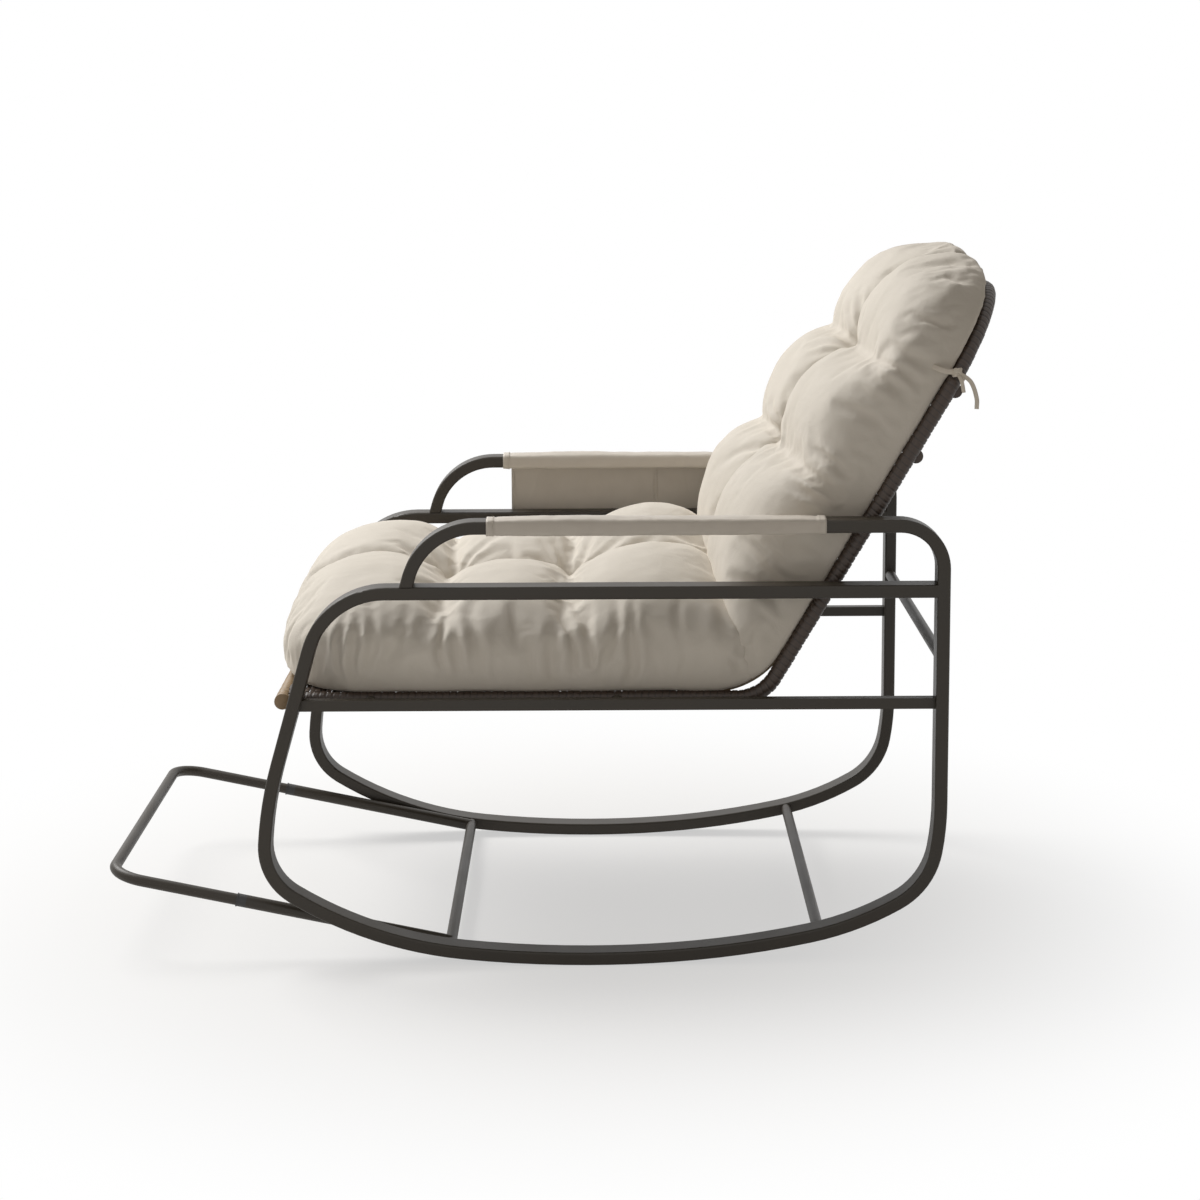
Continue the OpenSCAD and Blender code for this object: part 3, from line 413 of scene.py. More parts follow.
def weaveSheet(name, start, end, upOf, seed, node):
    rng = random.Random(seed)
    verts, faces, uvs = [], [], []
    width, thick = weave["width"] / 2, weave["thick"] / 2
    section = [(-width, 0), (-width * 0.6, thick), (width * 0.6, thick), (width, 0),
               (width * 0.6, -thick), (-width * 0.6, -thick)]

    def flatStrand(stations, across, normals):
        first, around = len(verts), len(section)
        for centre, normal in zip(stations, normals):
            verts.extend(tuple(centre + across * a + normal * b) for a, b in section)
        faces.extend(ringFaces(first, len(stations), around))
        for i in range(len(stations) - 1):
            for j in range(around):
                k = (j + 1) % around
                uvs.extend((u * 0.0075, v * 0.0024 + first * 0.01) for u, v in ((i, j), (i, k), (i + 1, k), (i + 1, j)))
        faces.append(tuple(range(first, first + around)))
        faces.append(tuple(range(len(verts) - 1, len(verts) - 1 - around, -1)))
        uvs.extend([(0, 0)] * (2 * around))

    count = int((end - start) / weave["pitch"])
    for i in range(count):
        s = start + (i + 0.5) * weave["pitch"] + rng.uniform(-weave["uneven"], weave["uneven"])
        centre, normal = weaveLine(s)
        ahead, _ = weaveLine(s + 0.001)
        direction = (ahead - centre).normalized()
        half = weaveHalf(upOf(s))
        if half < 0.02:
            continue
        steps = max(4, int(2 * half / (weave["stakePitch"] / 4)))
        xs = [-half + 2 * half * k / steps for k in range(steps + 1)]
        lift = rng.uniform(-0.0002, 0.0002)
        stations = [centre + Vector((x, 0, 0)) + normal * (
            weave["sway"] * math.cos(math.pi * x / weave["stakePitch"] + math.pi * (i % 2)) + lift) for x in xs]
        flatStrand(stations, direction, [normal] * len(xs))
    stakeCount = int(2 * (rimX - weave["inset"]) / weave["stakePitch"])
    for m in range(stakeCount + 1):
        x = (m - stakeCount / 2) * weave["stakePitch"] + weave["stakePitch"] / 2
        spots = [weaveLine(s) for s in np.arange(start, end, weave["stakeStep"])
                 if weaveHalf(upOf(s)) > abs(x) + 0.004]
        if len(spots) > 2:
            flatStrand([p + Vector((x, 0, 0)) for p, _ in spots], Vector((weave["stakeWide"], 0, 0)),
                       [n for _, n in spots])
    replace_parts(makePiece(name, verts, faces, wickerBrown, uvs), node)


bendEnd = -bendReach + bendR * foldAngle
weaveSheet("seatWeaveStrands", frontY + weave["inset"] - cornerY, -bendReach, lambda s: 0, 11, "seat_weave")
weaveSheet("bendWeaveStrands", -bendReach, bendEnd, lambda s: 0, 12, "bend_weave")
lineShift = 2 * bendReach - bendR * foldAngle  # from distance along the sheet to height up the back
backTop = topLine - weave["inset"] - lineShift - wrapR * math.tan(foldAngle / 2)
weaveSheet("backWeaveStrands", bendEnd, backTop, lambda s: s + lineShift + wrapR * math.tan(foldAngle / 2), 13,
           "back_weave")
print("weave made")


def roundStrand(verts, faces, uvs, points, radius, sides=8):
    tangents, sideways, ups = pathFrames(np.array(points))
    start = len(verts)
    for i, point in enumerate(points):
        for j in range(sides):
            angle = 2 * math.pi * j / sides
            verts.append(tuple(np.array(point) + (sideways[i] * math.cos(angle) + ups[i] * math.sin(angle)) * radius))
    faces.extend((a, d, c, b) for a, b, c, d in ringFaces(start, len(points), sides))
    for i in range(len(points) - 1):
        for j in range(sides):
            k = (j + 1) % sides
            uvs.extend((u * 0.01, v * 0.002) for u, v in ((i, j), (i + 1, j), (i + 1, k), (i, k)))
    faces.append(tuple(start + j for j in range(sides)))
    faces.append(tuple(start + (len(points) - 1) * sides + j for j in range(sides - 1, -1, -1)))
    uvs.extend([(0, 0)] * (2 * sides))


# Round strands that close the weave's edge where it leaves the rim and cuts across the bend
edging = {"strands": 3, "radius": 0.0026, "outward": 0.002, "inward": 0.0034, "lift": 0.0006, "upward": 0.0042,
          "before": 0.085, "past": 0.05, "step": 0.008}
verts, faces, uvs = [], [], []
for side in (-1, 1):
    for k in range(edging["strands"]):
        x = side * (rimX - weave["inset"] + edging["outward"] - k * edging["inward"])
        line = []
        for s in np.arange(-edging["before"], bendEnd + edging["past"], edging["step"]):
            point, normal = weaveLine(s)
            line.append(tuple(point + normal * (edging["lift"] + k * edging["upward"]) + Vector((x, 0, 0))))
        roundStrand(verts, faces, uvs, line, edging["radius"])
makePiece("bendEdgeStrands", verts, faces, wickerOlive, uvs)
print("edge strands made")


# Tufted pad: two halves with rows of pillows, each a cloth cover blown up by its filling
pad = {
    "half": 0.285, "sideHeight": 0.056, "tip": 0.30, "floorZ": 0.3795, "bend": 0.1147,
    "creaseTilt": math.radians(20), "creaseRound": 0.060, "overlap": 0.004,
    "ringStep": 0.006, "topPoints": 110, "floorPoints": 80,
    "seatFront": -0.442, "seatNose": 0.140, "seatTufts": (-0.204, -0.026),
    "backTop": 0.666, "backNose": 0.175, "backTufts": (0.296, 0.473),
    "rowWide": 0.088, "rowDepth": 0.024, "rowBow": 0.05, "middleWide": 0.135, "middleDepth": 0.034,
    "knotDepth": 0.014, "knotWide": 0.03, "lopsided": 0.13, "tipLift": 0.045, "endPuff": 0.65, "endLong": 0.08,
    "topRound": 2.6, "floorRound": 26.0, "endRound": 2.2,
    "seatCrown": ((-0.45, 0.146), (-0.30, 0.149), (-0.12, 0.139), (0.02, 0.155), (0.11, 0.180), (0.25, 0.185)),
    "backCrown": ((0.0, 0.158), (0.16, 0.158), (0.22, 0.160), (0.36, 0.141), (0.44, 0.134), (0.54, 0.114),
                  (0.68, 0.104)),
}
padReach = pad["bend"] * math.tan(foldAngle / 2)
padCorner = (chair["hingeY"] - (pad["floorZ"] - seatZ) * math.tan(foldAngle / 2), pad["floorZ"])
padSag = pad["bend"] * (1 / math.cos(foldAngle / 2) - 1)
splitY = padCorner[0] - padSag * math.sin(foldAngle / 2)
splitT = padSag * math.sin(foldAngle / 2)


def swell(u, power):
    return np.maximum(0, 1 - np.abs(u) ** power) ** (1 / power)


def valley(distance, wide, sharp):  # 1 on the line between two pillows, 0 where they are level
    near = np.maximum(0, 1 - np.abs(distance) / wide)
    crisp = 1 - np.sqrt(1 - near ** 2)
    soft = 0.5 - 0.5 * np.cos(math.pi * near)
    return sharp * crisp + (1 - sharp) * soft


def seatBase(y):  # floor of the seat half at y: place and lean, which bends back towards the fold
    d = y - (padCorner[0] - padReach)
    lift = 0 if d < 0 else pad["bend"] - math.sqrt(pad["bend"] ** 2 - d * d)
    lean = pad["creaseTilt"] * max(0, (y - pad["seatTufts"][1]) / (splitY - pad["seatTufts"][1])) ** 1.5
    return y, padCorner[1] + lift, lean


def backBase(t):  # floor of the back half at height t up the back
    gap = 0 if t >= padReach else pad["bend"] - math.sqrt(max(0, pad["bend"] ** 2 - (padReach - t) ** 2))
    lean = foldAngle - (foldAngle - pad["creaseTilt"]) * max(0, 1 - (t - splitT) / (2 * pad["bend"]))
    return (padCorner[0] + t * tiltSin - gap * tiltCos, padCorner[1] + t * tiltCos + gap * tiltSin, lean)


# Rings of a stuffed section, small at the free end and rounded at the crease
def padForm(start, end, baseOf, crownTable, tufts, freeEnd, nose):
    count = round(abs(end - start) / pad["ringStep"])
    topCount, floorCount = pad["topPoints"], pad["floorPoints"]
    shares = np.concatenate([np.sin(np.linspace(math.pi / 2, -math.pi / 2, topCount + 1)[:-1]),
                             np.sin(np.linspace(-math.pi / 2, math.pi / 2, floorCount + 1)[:-1])])
    isTop = np.arange(topCount + floorCount) < topCount
    rings = []
    for k in range(count + 1):
        s = start + (end - start) * (0.5 - 0.5 * math.cos(math.pi * k / count))
        fromFree, fromCrease = abs(s - freeEnd), abs(s - (start + end - freeEnd))
        size = float(swell(np.array(1 - min(1, fromFree / nose)), pad["endRound"]))
        crease = float(swell(np.array(1 - min(1, fromCrease / pad["creaseRound"])), 2.0))
        freeSize = max(size, 0.02)
        size = freeSize * (0.50 + 0.50 * crease)
        y, z, lean = baseOf(s)
        crown = np.interp(s, [c[0] for c in crownTable], [c[1] for c in crownTable])
        width = pad["half"] * (pad["tip"] + (1 - pad["tip"]) * freeSize) * (0.985 + 0.015 * crease)
        x = width * shares
        reach = np.hypot(x, min(abs(s - t) for t in tufts))
        sharp = np.exp(-(reach / 0.10) ** 2)
        row = np.max([valley(s - t - pad["rowBow"] * np.abs(x), pad["rowWide"], sharp) for t in tufts], axis=0)
        drawn = pad["rowDepth"] * row * (1 - 0.6 * np.abs(shares) ** 3)
        beyond = min(abs(t - freeEnd) for t in tufts) - fromFree  # past the last tuft, where the pillows run together
        ending = 1 - pad["endPuff"] * min(1, max(0, beyond / pad["endLong"]))
        drawn = drawn + pad["middleDepth"] * ending * valley(x, pad["middleWide"], sharp)
        drawn = drawn + pad["knotDepth"] * np.exp(-(reach / pad["knotWide"]) ** 2)
        side = min(pad["sideHeight"], crown * size / 2)
        top = np.maximum((crown * (1 - pad["lopsided"] * shares) - drawn) * size, side)
        high = side + (top - side) * swell(shares, pad["topRound"])
        low = side * (1 - swell(shares, pad["floorRound"])) - 0.005 * np.abs(shares) ** 14
        h = np.where(isTop, high, low) + pad["tipLift"] * (1 - freeSize) ** 2.2
        rings.append(np.stack([x, y - h * math.sin(lean), z + h * math.cos(lean)], axis=1))
    around = topCount + floorCount
    verts = np.concatenate(rings + [rings[0].mean(axis=0)[None], rings[-1].mean(axis=0)[None]])
    faces = ringFaces(0, count + 1, around)
    for j in range(around):
        k = (j + 1) % around
        faces.append((k, j, (count + 1) * around))
        faces.append((count * around + j, count * around + k, (count + 1) * around + 1))
    return verts, faces


folds = {"perTuft": 12, "depth": 0.0055, "wide": 0.0085, "reach": 0.13, "sideDepth": 0.0085, "wrinkle": 0.0016}


# Depth of the gathers that run out from each tuft and down the sides
def tuftFolds(points, normals, alongOf, heightOf, tufts, sideFolds, seed):
    rng = random.Random(seed)
    x, s, h = points[:, 0], alongOf(points), heightOf(points)
    depth = np.zeros(len(points))
    topness = np.clip((h - 0.05) / 0.05, 0, 1)
    sideness = np.clip(np.abs(normals[:, 0]) * 1.5 - 0.2, 0, 1)
    for tuft in tufts:
        for k in range(folds["perTuft"]):
            heading = 2 * math.pi * (k + rng.uniform(-0.3, 0.3)) / folds["perTuft"]
            reach = folds["reach"] * rng.uniform(0.55, 1.25)
            bend = rng.uniform(-1.6, 1.6)
            forward = x * math.cos(heading) + (s - tuft) * math.sin(heading)
            across = -x * math.sin(heading) + (s - tuft) * math.cos(heading) - bend * forward ** 2
            wide = np.maximum(folds["wide"] * (0.35 + forward / folds["reach"]) * rng.uniform(0.8, 1.3), 0.003)
            fade = np.clip(forward / 0.015, 0, 1) * np.clip(1 - forward / reach, 0, 1)
            depth += folds["depth"] * rng.uniform(0.6, 1.5) * fade * topness * (
                np.exp(-(across / wide) ** 2) - 0.6 * np.exp(-((np.abs(across) - 1.7 * wide) / wide) ** 2))
    for side in (-1, 1):
        onSide = sideness * (np.sign(x) == side)
        for place, strength, low, high in sideFolds:
            place = place + (0 if side > 0 else rng.uniform(-0.02, 0.02))
            slant, wide = rng.uniform(-0.25, 0.25), rng.uniform(0.005, 0.009)
            d = s - place - slant * (h - 0.06) - 0.004 * np.sin(h * 60 + place * 90)
            window = np.clip((h - low) / 0.03, 0, 1) * np.clip((high - h) / 0.05, 0, 1)
            depth += folds["sideDepth"] * strength * window * onSide * (
                np.exp(-(d / wide) ** 2) - 0.6 * np.exp(-((np.abs(d) - 1.8 * wide) / wide) ** 2))
    return depth


def creaseLine(distance, depth, wide):  # steep at its line and soft beside it
    return depth * np.exp(-np.abs(distance) / wide)


# Depth of the sharp puckers at the tufts, and of small ripples in the cloth
def stitchedDown(points, alongOf, heightOf, tufts, seed):
    x, s, h = points[:, 0], alongOf(points), heightOf(points)
    topness = np.clip((h - 0.05) / 0.04, 0, 1)
    depth = np.zeros(len(points))
    for number, tuft in enumerate(tufts):
        r = np.hypot(x, s - tuft)
        d = s - tuft + 0.005 * np.sin(x * 23.0 + number)
        depth += creaseLine(d, 0.006, 0.006) * np.exp(-np.abs(x) / 0.06) * topness
        depth += creaseLine(x + 0.004 * np.sin(s * 31.0), 0.005, 0.006) * np.exp(-np.abs(s - tuft) / 0.06) * topness
        depth += 0.012 * np.exp(-r / 0.012) * topness
    ripple = np.array([noise.fractal(Vector((p[0] * 16, s[i] * 11, h[i] * 14 + seed)), 1.0, 2.0, 3)
                       for i, p in enumerate(points)])
    return depth + folds["wrinkle"] * ripple


def meshArrays(mesh):
    points = np.zeros(len(mesh.vertices) * 3)
    normals = np.zeros(len(mesh.vertices) * 3)
    mesh.vertices.foreach_get("co", points)
    mesh.vertex_normals.foreach_get("vector", normals)
    return points.reshape(-1, 3), normals.reshape(-1, 3)


def setPoints(piece, points):
    piece.data.vertices.foreach_set("co", points.ravel())
    piece.data.update()


def applyModifiers(piece):
    graph = bpy.context.evaluated_depsgraph_get()
    mesh = bpy.data.meshes.new_from_object(piece.evaluated_get(graph))
    old = piece.data
    piece.modifiers.clear()
    piece.data = mesh
    bpy.data.meshes.remove(old)


padding = {"voxel": 0.0055, "pressure": 5.0, "slack": -0.07, "frames": 20, "cap": 0.024, "heldUpTo": 0.030,
           "tuftHold": 0.014, "lineHold": 0.012}


def blowUp(piece, alongOf, heightOf, tufts):  # the cover as cloth, held at its base and at the tufts
    points, normals = meshArrays(piece.data)
    x, s, h = points[:, 0], alongOf(points), heightOf(points)
    held = np.clip((padding["heldUpTo"] - h) / 0.02, 0, 1)
    held = np.maximum(held, 0.25 * np.exp(-(x / padding["lineHold"]) ** 2) * np.clip((h - 0.05) / 0.04, 0, 1))
    for tuft in tufts:
        held = np.maximum(held, np.clip(1.6 - np.hypot(x, s - tuft) / padding["tuftHold"], 0, 1))
        held = np.maximum(held, 0.2 * np.exp(-((s - tuft) / padding["lineHold"]) ** 2))
    group = piece.vertex_groups.new(name="held")
    for level in range(1, 11):
        chosen = np.nonzero(np.round(held * 10) == level)[0].tolist()
        if chosen:
            group.add(chosen, level / 10, "REPLACE")
    cloth = piece.modifiers.new("cover", "CLOTH")
    cloth.settings.vertex_group_mass = "held"
    cloth.settings.quality = 4
    cloth.settings.mass = 0.3
    cloth.settings.tension_stiffness = cloth.settings.compression_stiffness = 12
    cloth.settings.shear_stiffness = 4
    cloth.settings.bending_stiffness = 0.4
    cloth.settings.shrink_min = padding["slack"]
    cloth.settings.use_pressure = True
    cloth.settings.uniform_pressure_force = padding["pressure"]
    cloth.settings.effector_weights.gravity = 0
    cloth.collision_settings.use_collision = False
    cloth.point_cache.frame_end = padding["frames"]
    for number in range(1, padding["frames"] + 1):
        bpy.context.scene.frame_set(number)
    applyModifiers(piece)
    bpy.context.scene.frame_set(1)
    blown, _ = meshArrays(piece.data)
    moved = blown - points
    length = np.linalg.norm(moved, axis=1, keepdims=True)
    setPoints(piece, points + moved * np.minimum(1, padding["cap"] / np.maximum(length, 1e-6)))
    print(piece.name, "blown up by", round(float(length.mean()), 4), "m", round(float(length.max()), 4))


def stuffed(name, verts, faces, alongOf, heightOf, tufts, sideFolds, seed, node):
    mesh = bpy.data.meshes.new(name)
    mesh.from_pydata([tuple(v) for v in verts], [], faces)
    piece = bpy.data.objects.new(name, mesh)
    bpy.context.scene.collection.objects.link(piece)
    grid = piece.modifiers.new("grid", "REMESH")
    grid.mode, grid.voxel_size = "VOXEL", padding["voxel"]
    applyModifiers(piece)
    points, normals = meshArrays(piece.data)
    setPoints(piece, points - normals * tuftFolds(points, normals, alongOf, heightOf, tufts, sideFolds, seed)[:, None])
    blowUp(piece, alongOf, heightOf, tufts)
    piece.modifiers.new("even", "SMOOTH").iterations = 2  # takes out the remesh's steps
    piece.modifiers.new("soften", "SUBSURF").levels = 1
    applyModifiers(piece)
    points, normals = meshArrays(piece.data)
    points = points - normals * stitchedDown(points, alongOf, heightOf, tufts, seed)[:, None]
    setPoints(piece, points + np.array(home))
    piece.data.name = name
    piece.data.materials.append(padCloth)
    piece.data.shade_smooth()
    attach(piece, "frame")
    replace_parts(piece, node)
    print(name, len(piece.data.vertices), "points")


# Side puckers: place along the half, strength, lowest and highest point
seatFolds = [(-0.340, 0.8, 0.02, 0.12), (-0.322, 1.0, 0.01, 0.13), (-0.303, 0.8, 0.02, 0.13), (-0.262, 0.5, 0.05, 0.13),
             (-0.200, 0.9, 0.03, 0.13), (-0.182, 1.0, 0.02, 0.12), (-0.158, 0.8, 0.04, 0.12), (-0.100, 0.4, 0.06, 0.13),
             (-0.048, 0.8, 0.01, 0.14), (-0.024, 1.0, 0.02, 0.14), (0.002, 0.9, 0.01, 0.14), (0.030, 1.0, 0.01, 0.13),
             (0.060, 0.8, 0.0, 0.12), (0.125, 0.4, 0.05, 0.15), (0.175, 0.6, 0.05, 0.16)]
backFolds = [(0.12, 0.6, 0.03, 0.14), (0.16, 0.7, 0.03, 0.14), (0.27, 0.8, 0.04, 0.13), (0.295, 1.0, 0.03, 0.13),
             (0.32, 0.8, 0.04, 0.13), (0.40, 0.4, 0.05, 0.12), (0.455, 0.8, 0.03, 0.12), (0.48, 1.0, 0.02, 0.12),
             (0.505, 0.9, 0.02, 0.12), (0.56, 0.5, 0.03, 0.10)]
seatVerts, seatFaces = padForm(pad["seatFront"], splitY + pad["overlap"], seatBase, pad["seatCrown"], pad["seatTufts"],
                               pad["seatFront"], pad["seatNose"])
stuffed("seatCushion", seatVerts, seatFaces, lambda p: p[:, 1], lambda p: p[:, 2] - pad["floorZ"],
        pad["seatTufts"], seatFolds, 21, "seat_pad")


def upBack(points):
    return (points[:, 1] - padCorner[0]) * tiltSin + (points[:, 2] - padCorner[1]) * tiltCos


def offBack(points):
    return -(points[:, 1] - padCorner[0]) * tiltCos + (points[:, 2] - padCorner[1]) * tiltSin


backVerts, backFaces = padForm(splitT - pad["overlap"], pad["backTop"], backBase, pad["backCrown"], pad["backTufts"],
                               pad["backTop"], pad["backNose"])
stuffed("backCushion", backVerts, backFaces, upBack, offBack, pad["backTufts"], backFolds, 22, "back_pad")


button = {"radius": 0.0095, "height": 0.006, "sunk": 0.101, "rows": 6, "around": 20, "pleats": 8, "pleatDepth": 0.05}


def domeButton(verts, faces, centre, axis):
    side = axis.orthogonal().normalized()
    up = axis.cross(side)
    start, rows, around = len(verts), button["rows"], button["around"]
    for i in range(rows + 1):
        angle = math.pi / 2 * i / rows
        for j in range(around):
            turn = 2 * math.pi * j / around
            pleat = 1 + button["pleatDepth"] * math.cos(turn * button["pleats"]) * math.cos(angle)
            spot = (side * math.cos(turn) + up * math.sin(turn)) * button["radius"] * math.cos(angle) * pleat
            verts.append(tuple(centre + spot + axis * button["height"] * math.sin(angle)))
    faces.extend(ringFaces(start, rows + 1, around))
    faces.append(tuple(start + j for j in range(around - 1, -1, -1)))


verts, faces = [], []
for tufts, crowns, baseOf in ((pad["seatTufts"], pad["seatCrown"], lambda y: (y, pad["floorZ"], 0)),
                              (pad["backTufts"], pad["backCrown"], backBase)):
    for tuft in tufts:
        crown = np.interp(tuft, [c[0] for c in crowns], [c[1] for c in crowns])
        y, z, lean = baseOf(tuft)
        axis = Vector((0, -math.sin(lean), math.cos(lean)))
        domeButton(verts, faces, Vector((0, y, z)) + axis * (crown - button["sunk"]), axis)
buttons = makePiece("tuftButtons", verts, faces, padCloth)
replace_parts(buttons, "pad_buttons")
print("pad made")


def tape(verts, faces, points, width, wideAxis, thick):  # a flat tape along the points, wide towards wideAxis
    start = len(verts)
    section = ((-1, -0.6), (-1, 0.6), (-0.6, 1), (0.6, 1), (1, 0.6), (1, -0.6), (0.6, -1), (-0.6, -1))
    for i, point in enumerate(points):
        ahead = (points[min(i + 1, len(points) - 1)] - points[max(i - 1, 0)]).normalized()
        wide = (wideAxis - ahead * wideAxis.dot(ahead)).normalized()
        out = ahead.cross(wide)
        verts.extend(tuple(point + wide * width / 2 * a + out * thick / 2 * b) for a, b in section)
    faces.extend(ringFaces(start, len(points), 8))
    faces.append(tuple(start + j for j in range(7, -1, -1)))
    faces.append(tuple(start + (len(points) - 1) * 8 + j for j in range(8)))


def smoothPath(points, step):  # a smooth curve through the points, in even steps
    p = [Vector(q) for q in points]
    p = [p[0] * 2 - p[1]] + p + [p[-1] * 2 - p[-2]]
    out = []
    for i in range(1, len(p) - 2):
        for k in range(12):
            u = k / 12
            out.append(0.5 * ((2 * p[i]) + (p[i + 1] - p[i - 1]) * u
                              + (2 * p[i - 1] - 5 * p[i] + 4 * p[i + 1] - p[i + 2]) * u * u
                              + (3 * p[i] - p[i - 1] - 3 * p[i + 1] + p[i + 2]) * u ** 3))
    out.append(p[-2])
    return [Vector(q) for q in resample(out, step)]


# Tape ties of 7.5 mm, round the rim at its top corners: ring, strap from the pad, knot and two loose ends
tie = {"turn": math.radians(16), "wide": 0.0075, "thick": 0.0013, "ring": 0.0125, "knotOut": 0.0165,
       "knotForward": 0.004, "knotWide": 0.0055, "knotThick": 0.0026, "knotTurns": (0.0, 1.1, 2.2)}
for side, sideName in ((1, "Left"), (-1, "Right")):
    cornerX = rimX - chair["topCorner"] + chair["topCorner"] * math.cos(tie["turn"])
    up = topLine - chair["topCorner"] + chair["topCorner"] * math.sin(tie["turn"])
    outX = Vector((math.cos(tie["turn"]) * side, 0, 0)) + (onBack(0, 0, math.sin(tie["turn"])) - onBack(0, 0, 0))
    rear = onBack(0, 1, 0) - onBack(0, 0, 0)
    upward = onBack(0, 0, 1) - onBack(0, 0, 0)
    centre = onBack(side * cornerX, 0, up)
    verts, faces = [], []
    loop = [centre + (outX * math.cos(a) + rear * math.sin(a)) * tie["ring"] for a in np.linspace(0, 2 * math.pi, 41)]
    tape(verts, faces, loop, tie["wide"], upward, tie["thick"])
    knot = centre + outX * tie["knotOut"] - rear * tie["knotForward"]
    strap = smoothPath([onBack(side * 0.262, -0.048, up - 0.006), onBack(side * 0.283, -0.036, up - 0.005),
                        onBack(side * 0.292, -0.020, up - 0.002), knot], 0.003)
    tape(verts, faces, strap, tie["wide"], upward, tie["thick"])
    tail = smoothPath([knot, knot + rear * 0.016 + Vector((side * 0.003, 0.004, -0.004)),
                       knot + rear * 0.028 + Vector((side * 0.004, 0.002, -0.020)),
                       knot + rear * 0.031 + Vector((side * 0.003, 0.0, -0.034))], 0.003)
    tape(verts, faces, tail, tie["wide"] * 0.8, Vector((side * 0.3, 0.8, 0.3)), tie["thick"])
    short = smoothPath([knot, knot + rear * 0.006 + Vector((side * 0.006, 0, -0.008)),
                        knot + rear * 0.010 + Vector((side * 0.005, 0, -0.022))], 0.003)
    tape(verts, faces, short, tie["wide"] * 0.7, Vector((side * 0.2, 1, 0)), tie["thick"])
    for shift in tie["knotTurns"]:  # turns of tape drawn tight
        loop = [knot + Vector((0.0045 * math.cos(a) * side, 0.0046 * math.sin(a), 0.0038 * math.sin(a + shift)))
                for a in np.linspace(0, 2 * math.pi, 25)]
        tape(verts, faces, loop, tie["knotWide"], upward, tie["knotThick"])
    tiePiece = makePiece("padTie" + sideName, verts, faces, tieCloth)
    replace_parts(tiePiece, "pad_tie_" + sideName.lower())
print("ties made")


# Arm covers: sleeves of coated cloth with a hem of 12 mm at each end
cover = {"front": -0.137, "length": 0.461, "flatWide": 0.118, "cloth": 0.0015, "hem": 0.012, "seamIn": 0.0025,
         "clear": 0.0004, "corner": 0.004, "puff": 0.0035, "crease": 0.0008, "rings": 150, "stitch": 0.0008}
armHalfWide, armHalfThick = chair["tubeWide"] / 2, chair["tubeThick"] / 2


def coverSection():  # a rounded bar's outline round the arm tube
    wide, thick = armHalfWide + cover["clear"], armHalfThick + cover["clear"]
    corner = cover["corner"]
    points = []
    for cx, cz, start in ((1, 1, 0), (-1, 1, 90), (-1, -1, 180), (1, -1, 270)):
        for k in range(7):
            a = math.radians(start + 15 * k)
            points.append((cx * (wide - corner) + corner * math.cos(a), cz * (thick - corner) + corner * math.sin(a)))
    path = [(p[0], 0, p[1]) for p in points + points[:1]]
    return [(q[0], q[2]) for q in resample(path, 0.0026)[:-1]]


def stitches(verts, faces, path, normals, size):  # one pointed stitch on each step of the path
    corners = ((-1, 0, 0.2), (-0.5, 1, 0.6), (-0.5, -1, 0.6), (-0.5, 0, 1.3), (0.5, 1, 0.6), (0.5, -1, 0.6),
               (0.5, 0, 1.3), (1, 0, 0.2))
    for here, ahead, normal in zip(path, path[1:], normals):
        start = len(verts)
        a, b, normal = Vector(here), Vector(ahead), Vector(normal).normalized()
        along = b - a
        wide = along.normalized().cross(normal)
        verts.extend(tuple((a + b) / 2 + along * 0.68 * f + wide * w * size / 2 + normal * n * size)
                     for f, w, n in corners)
        for face in ((0, 1, 3), (0, 3, 2), (1, 4, 6, 3), (3, 6, 5, 2), (4, 7, 6), (6, 7, 5)):
            faces.append(tuple(start + j for j in face))


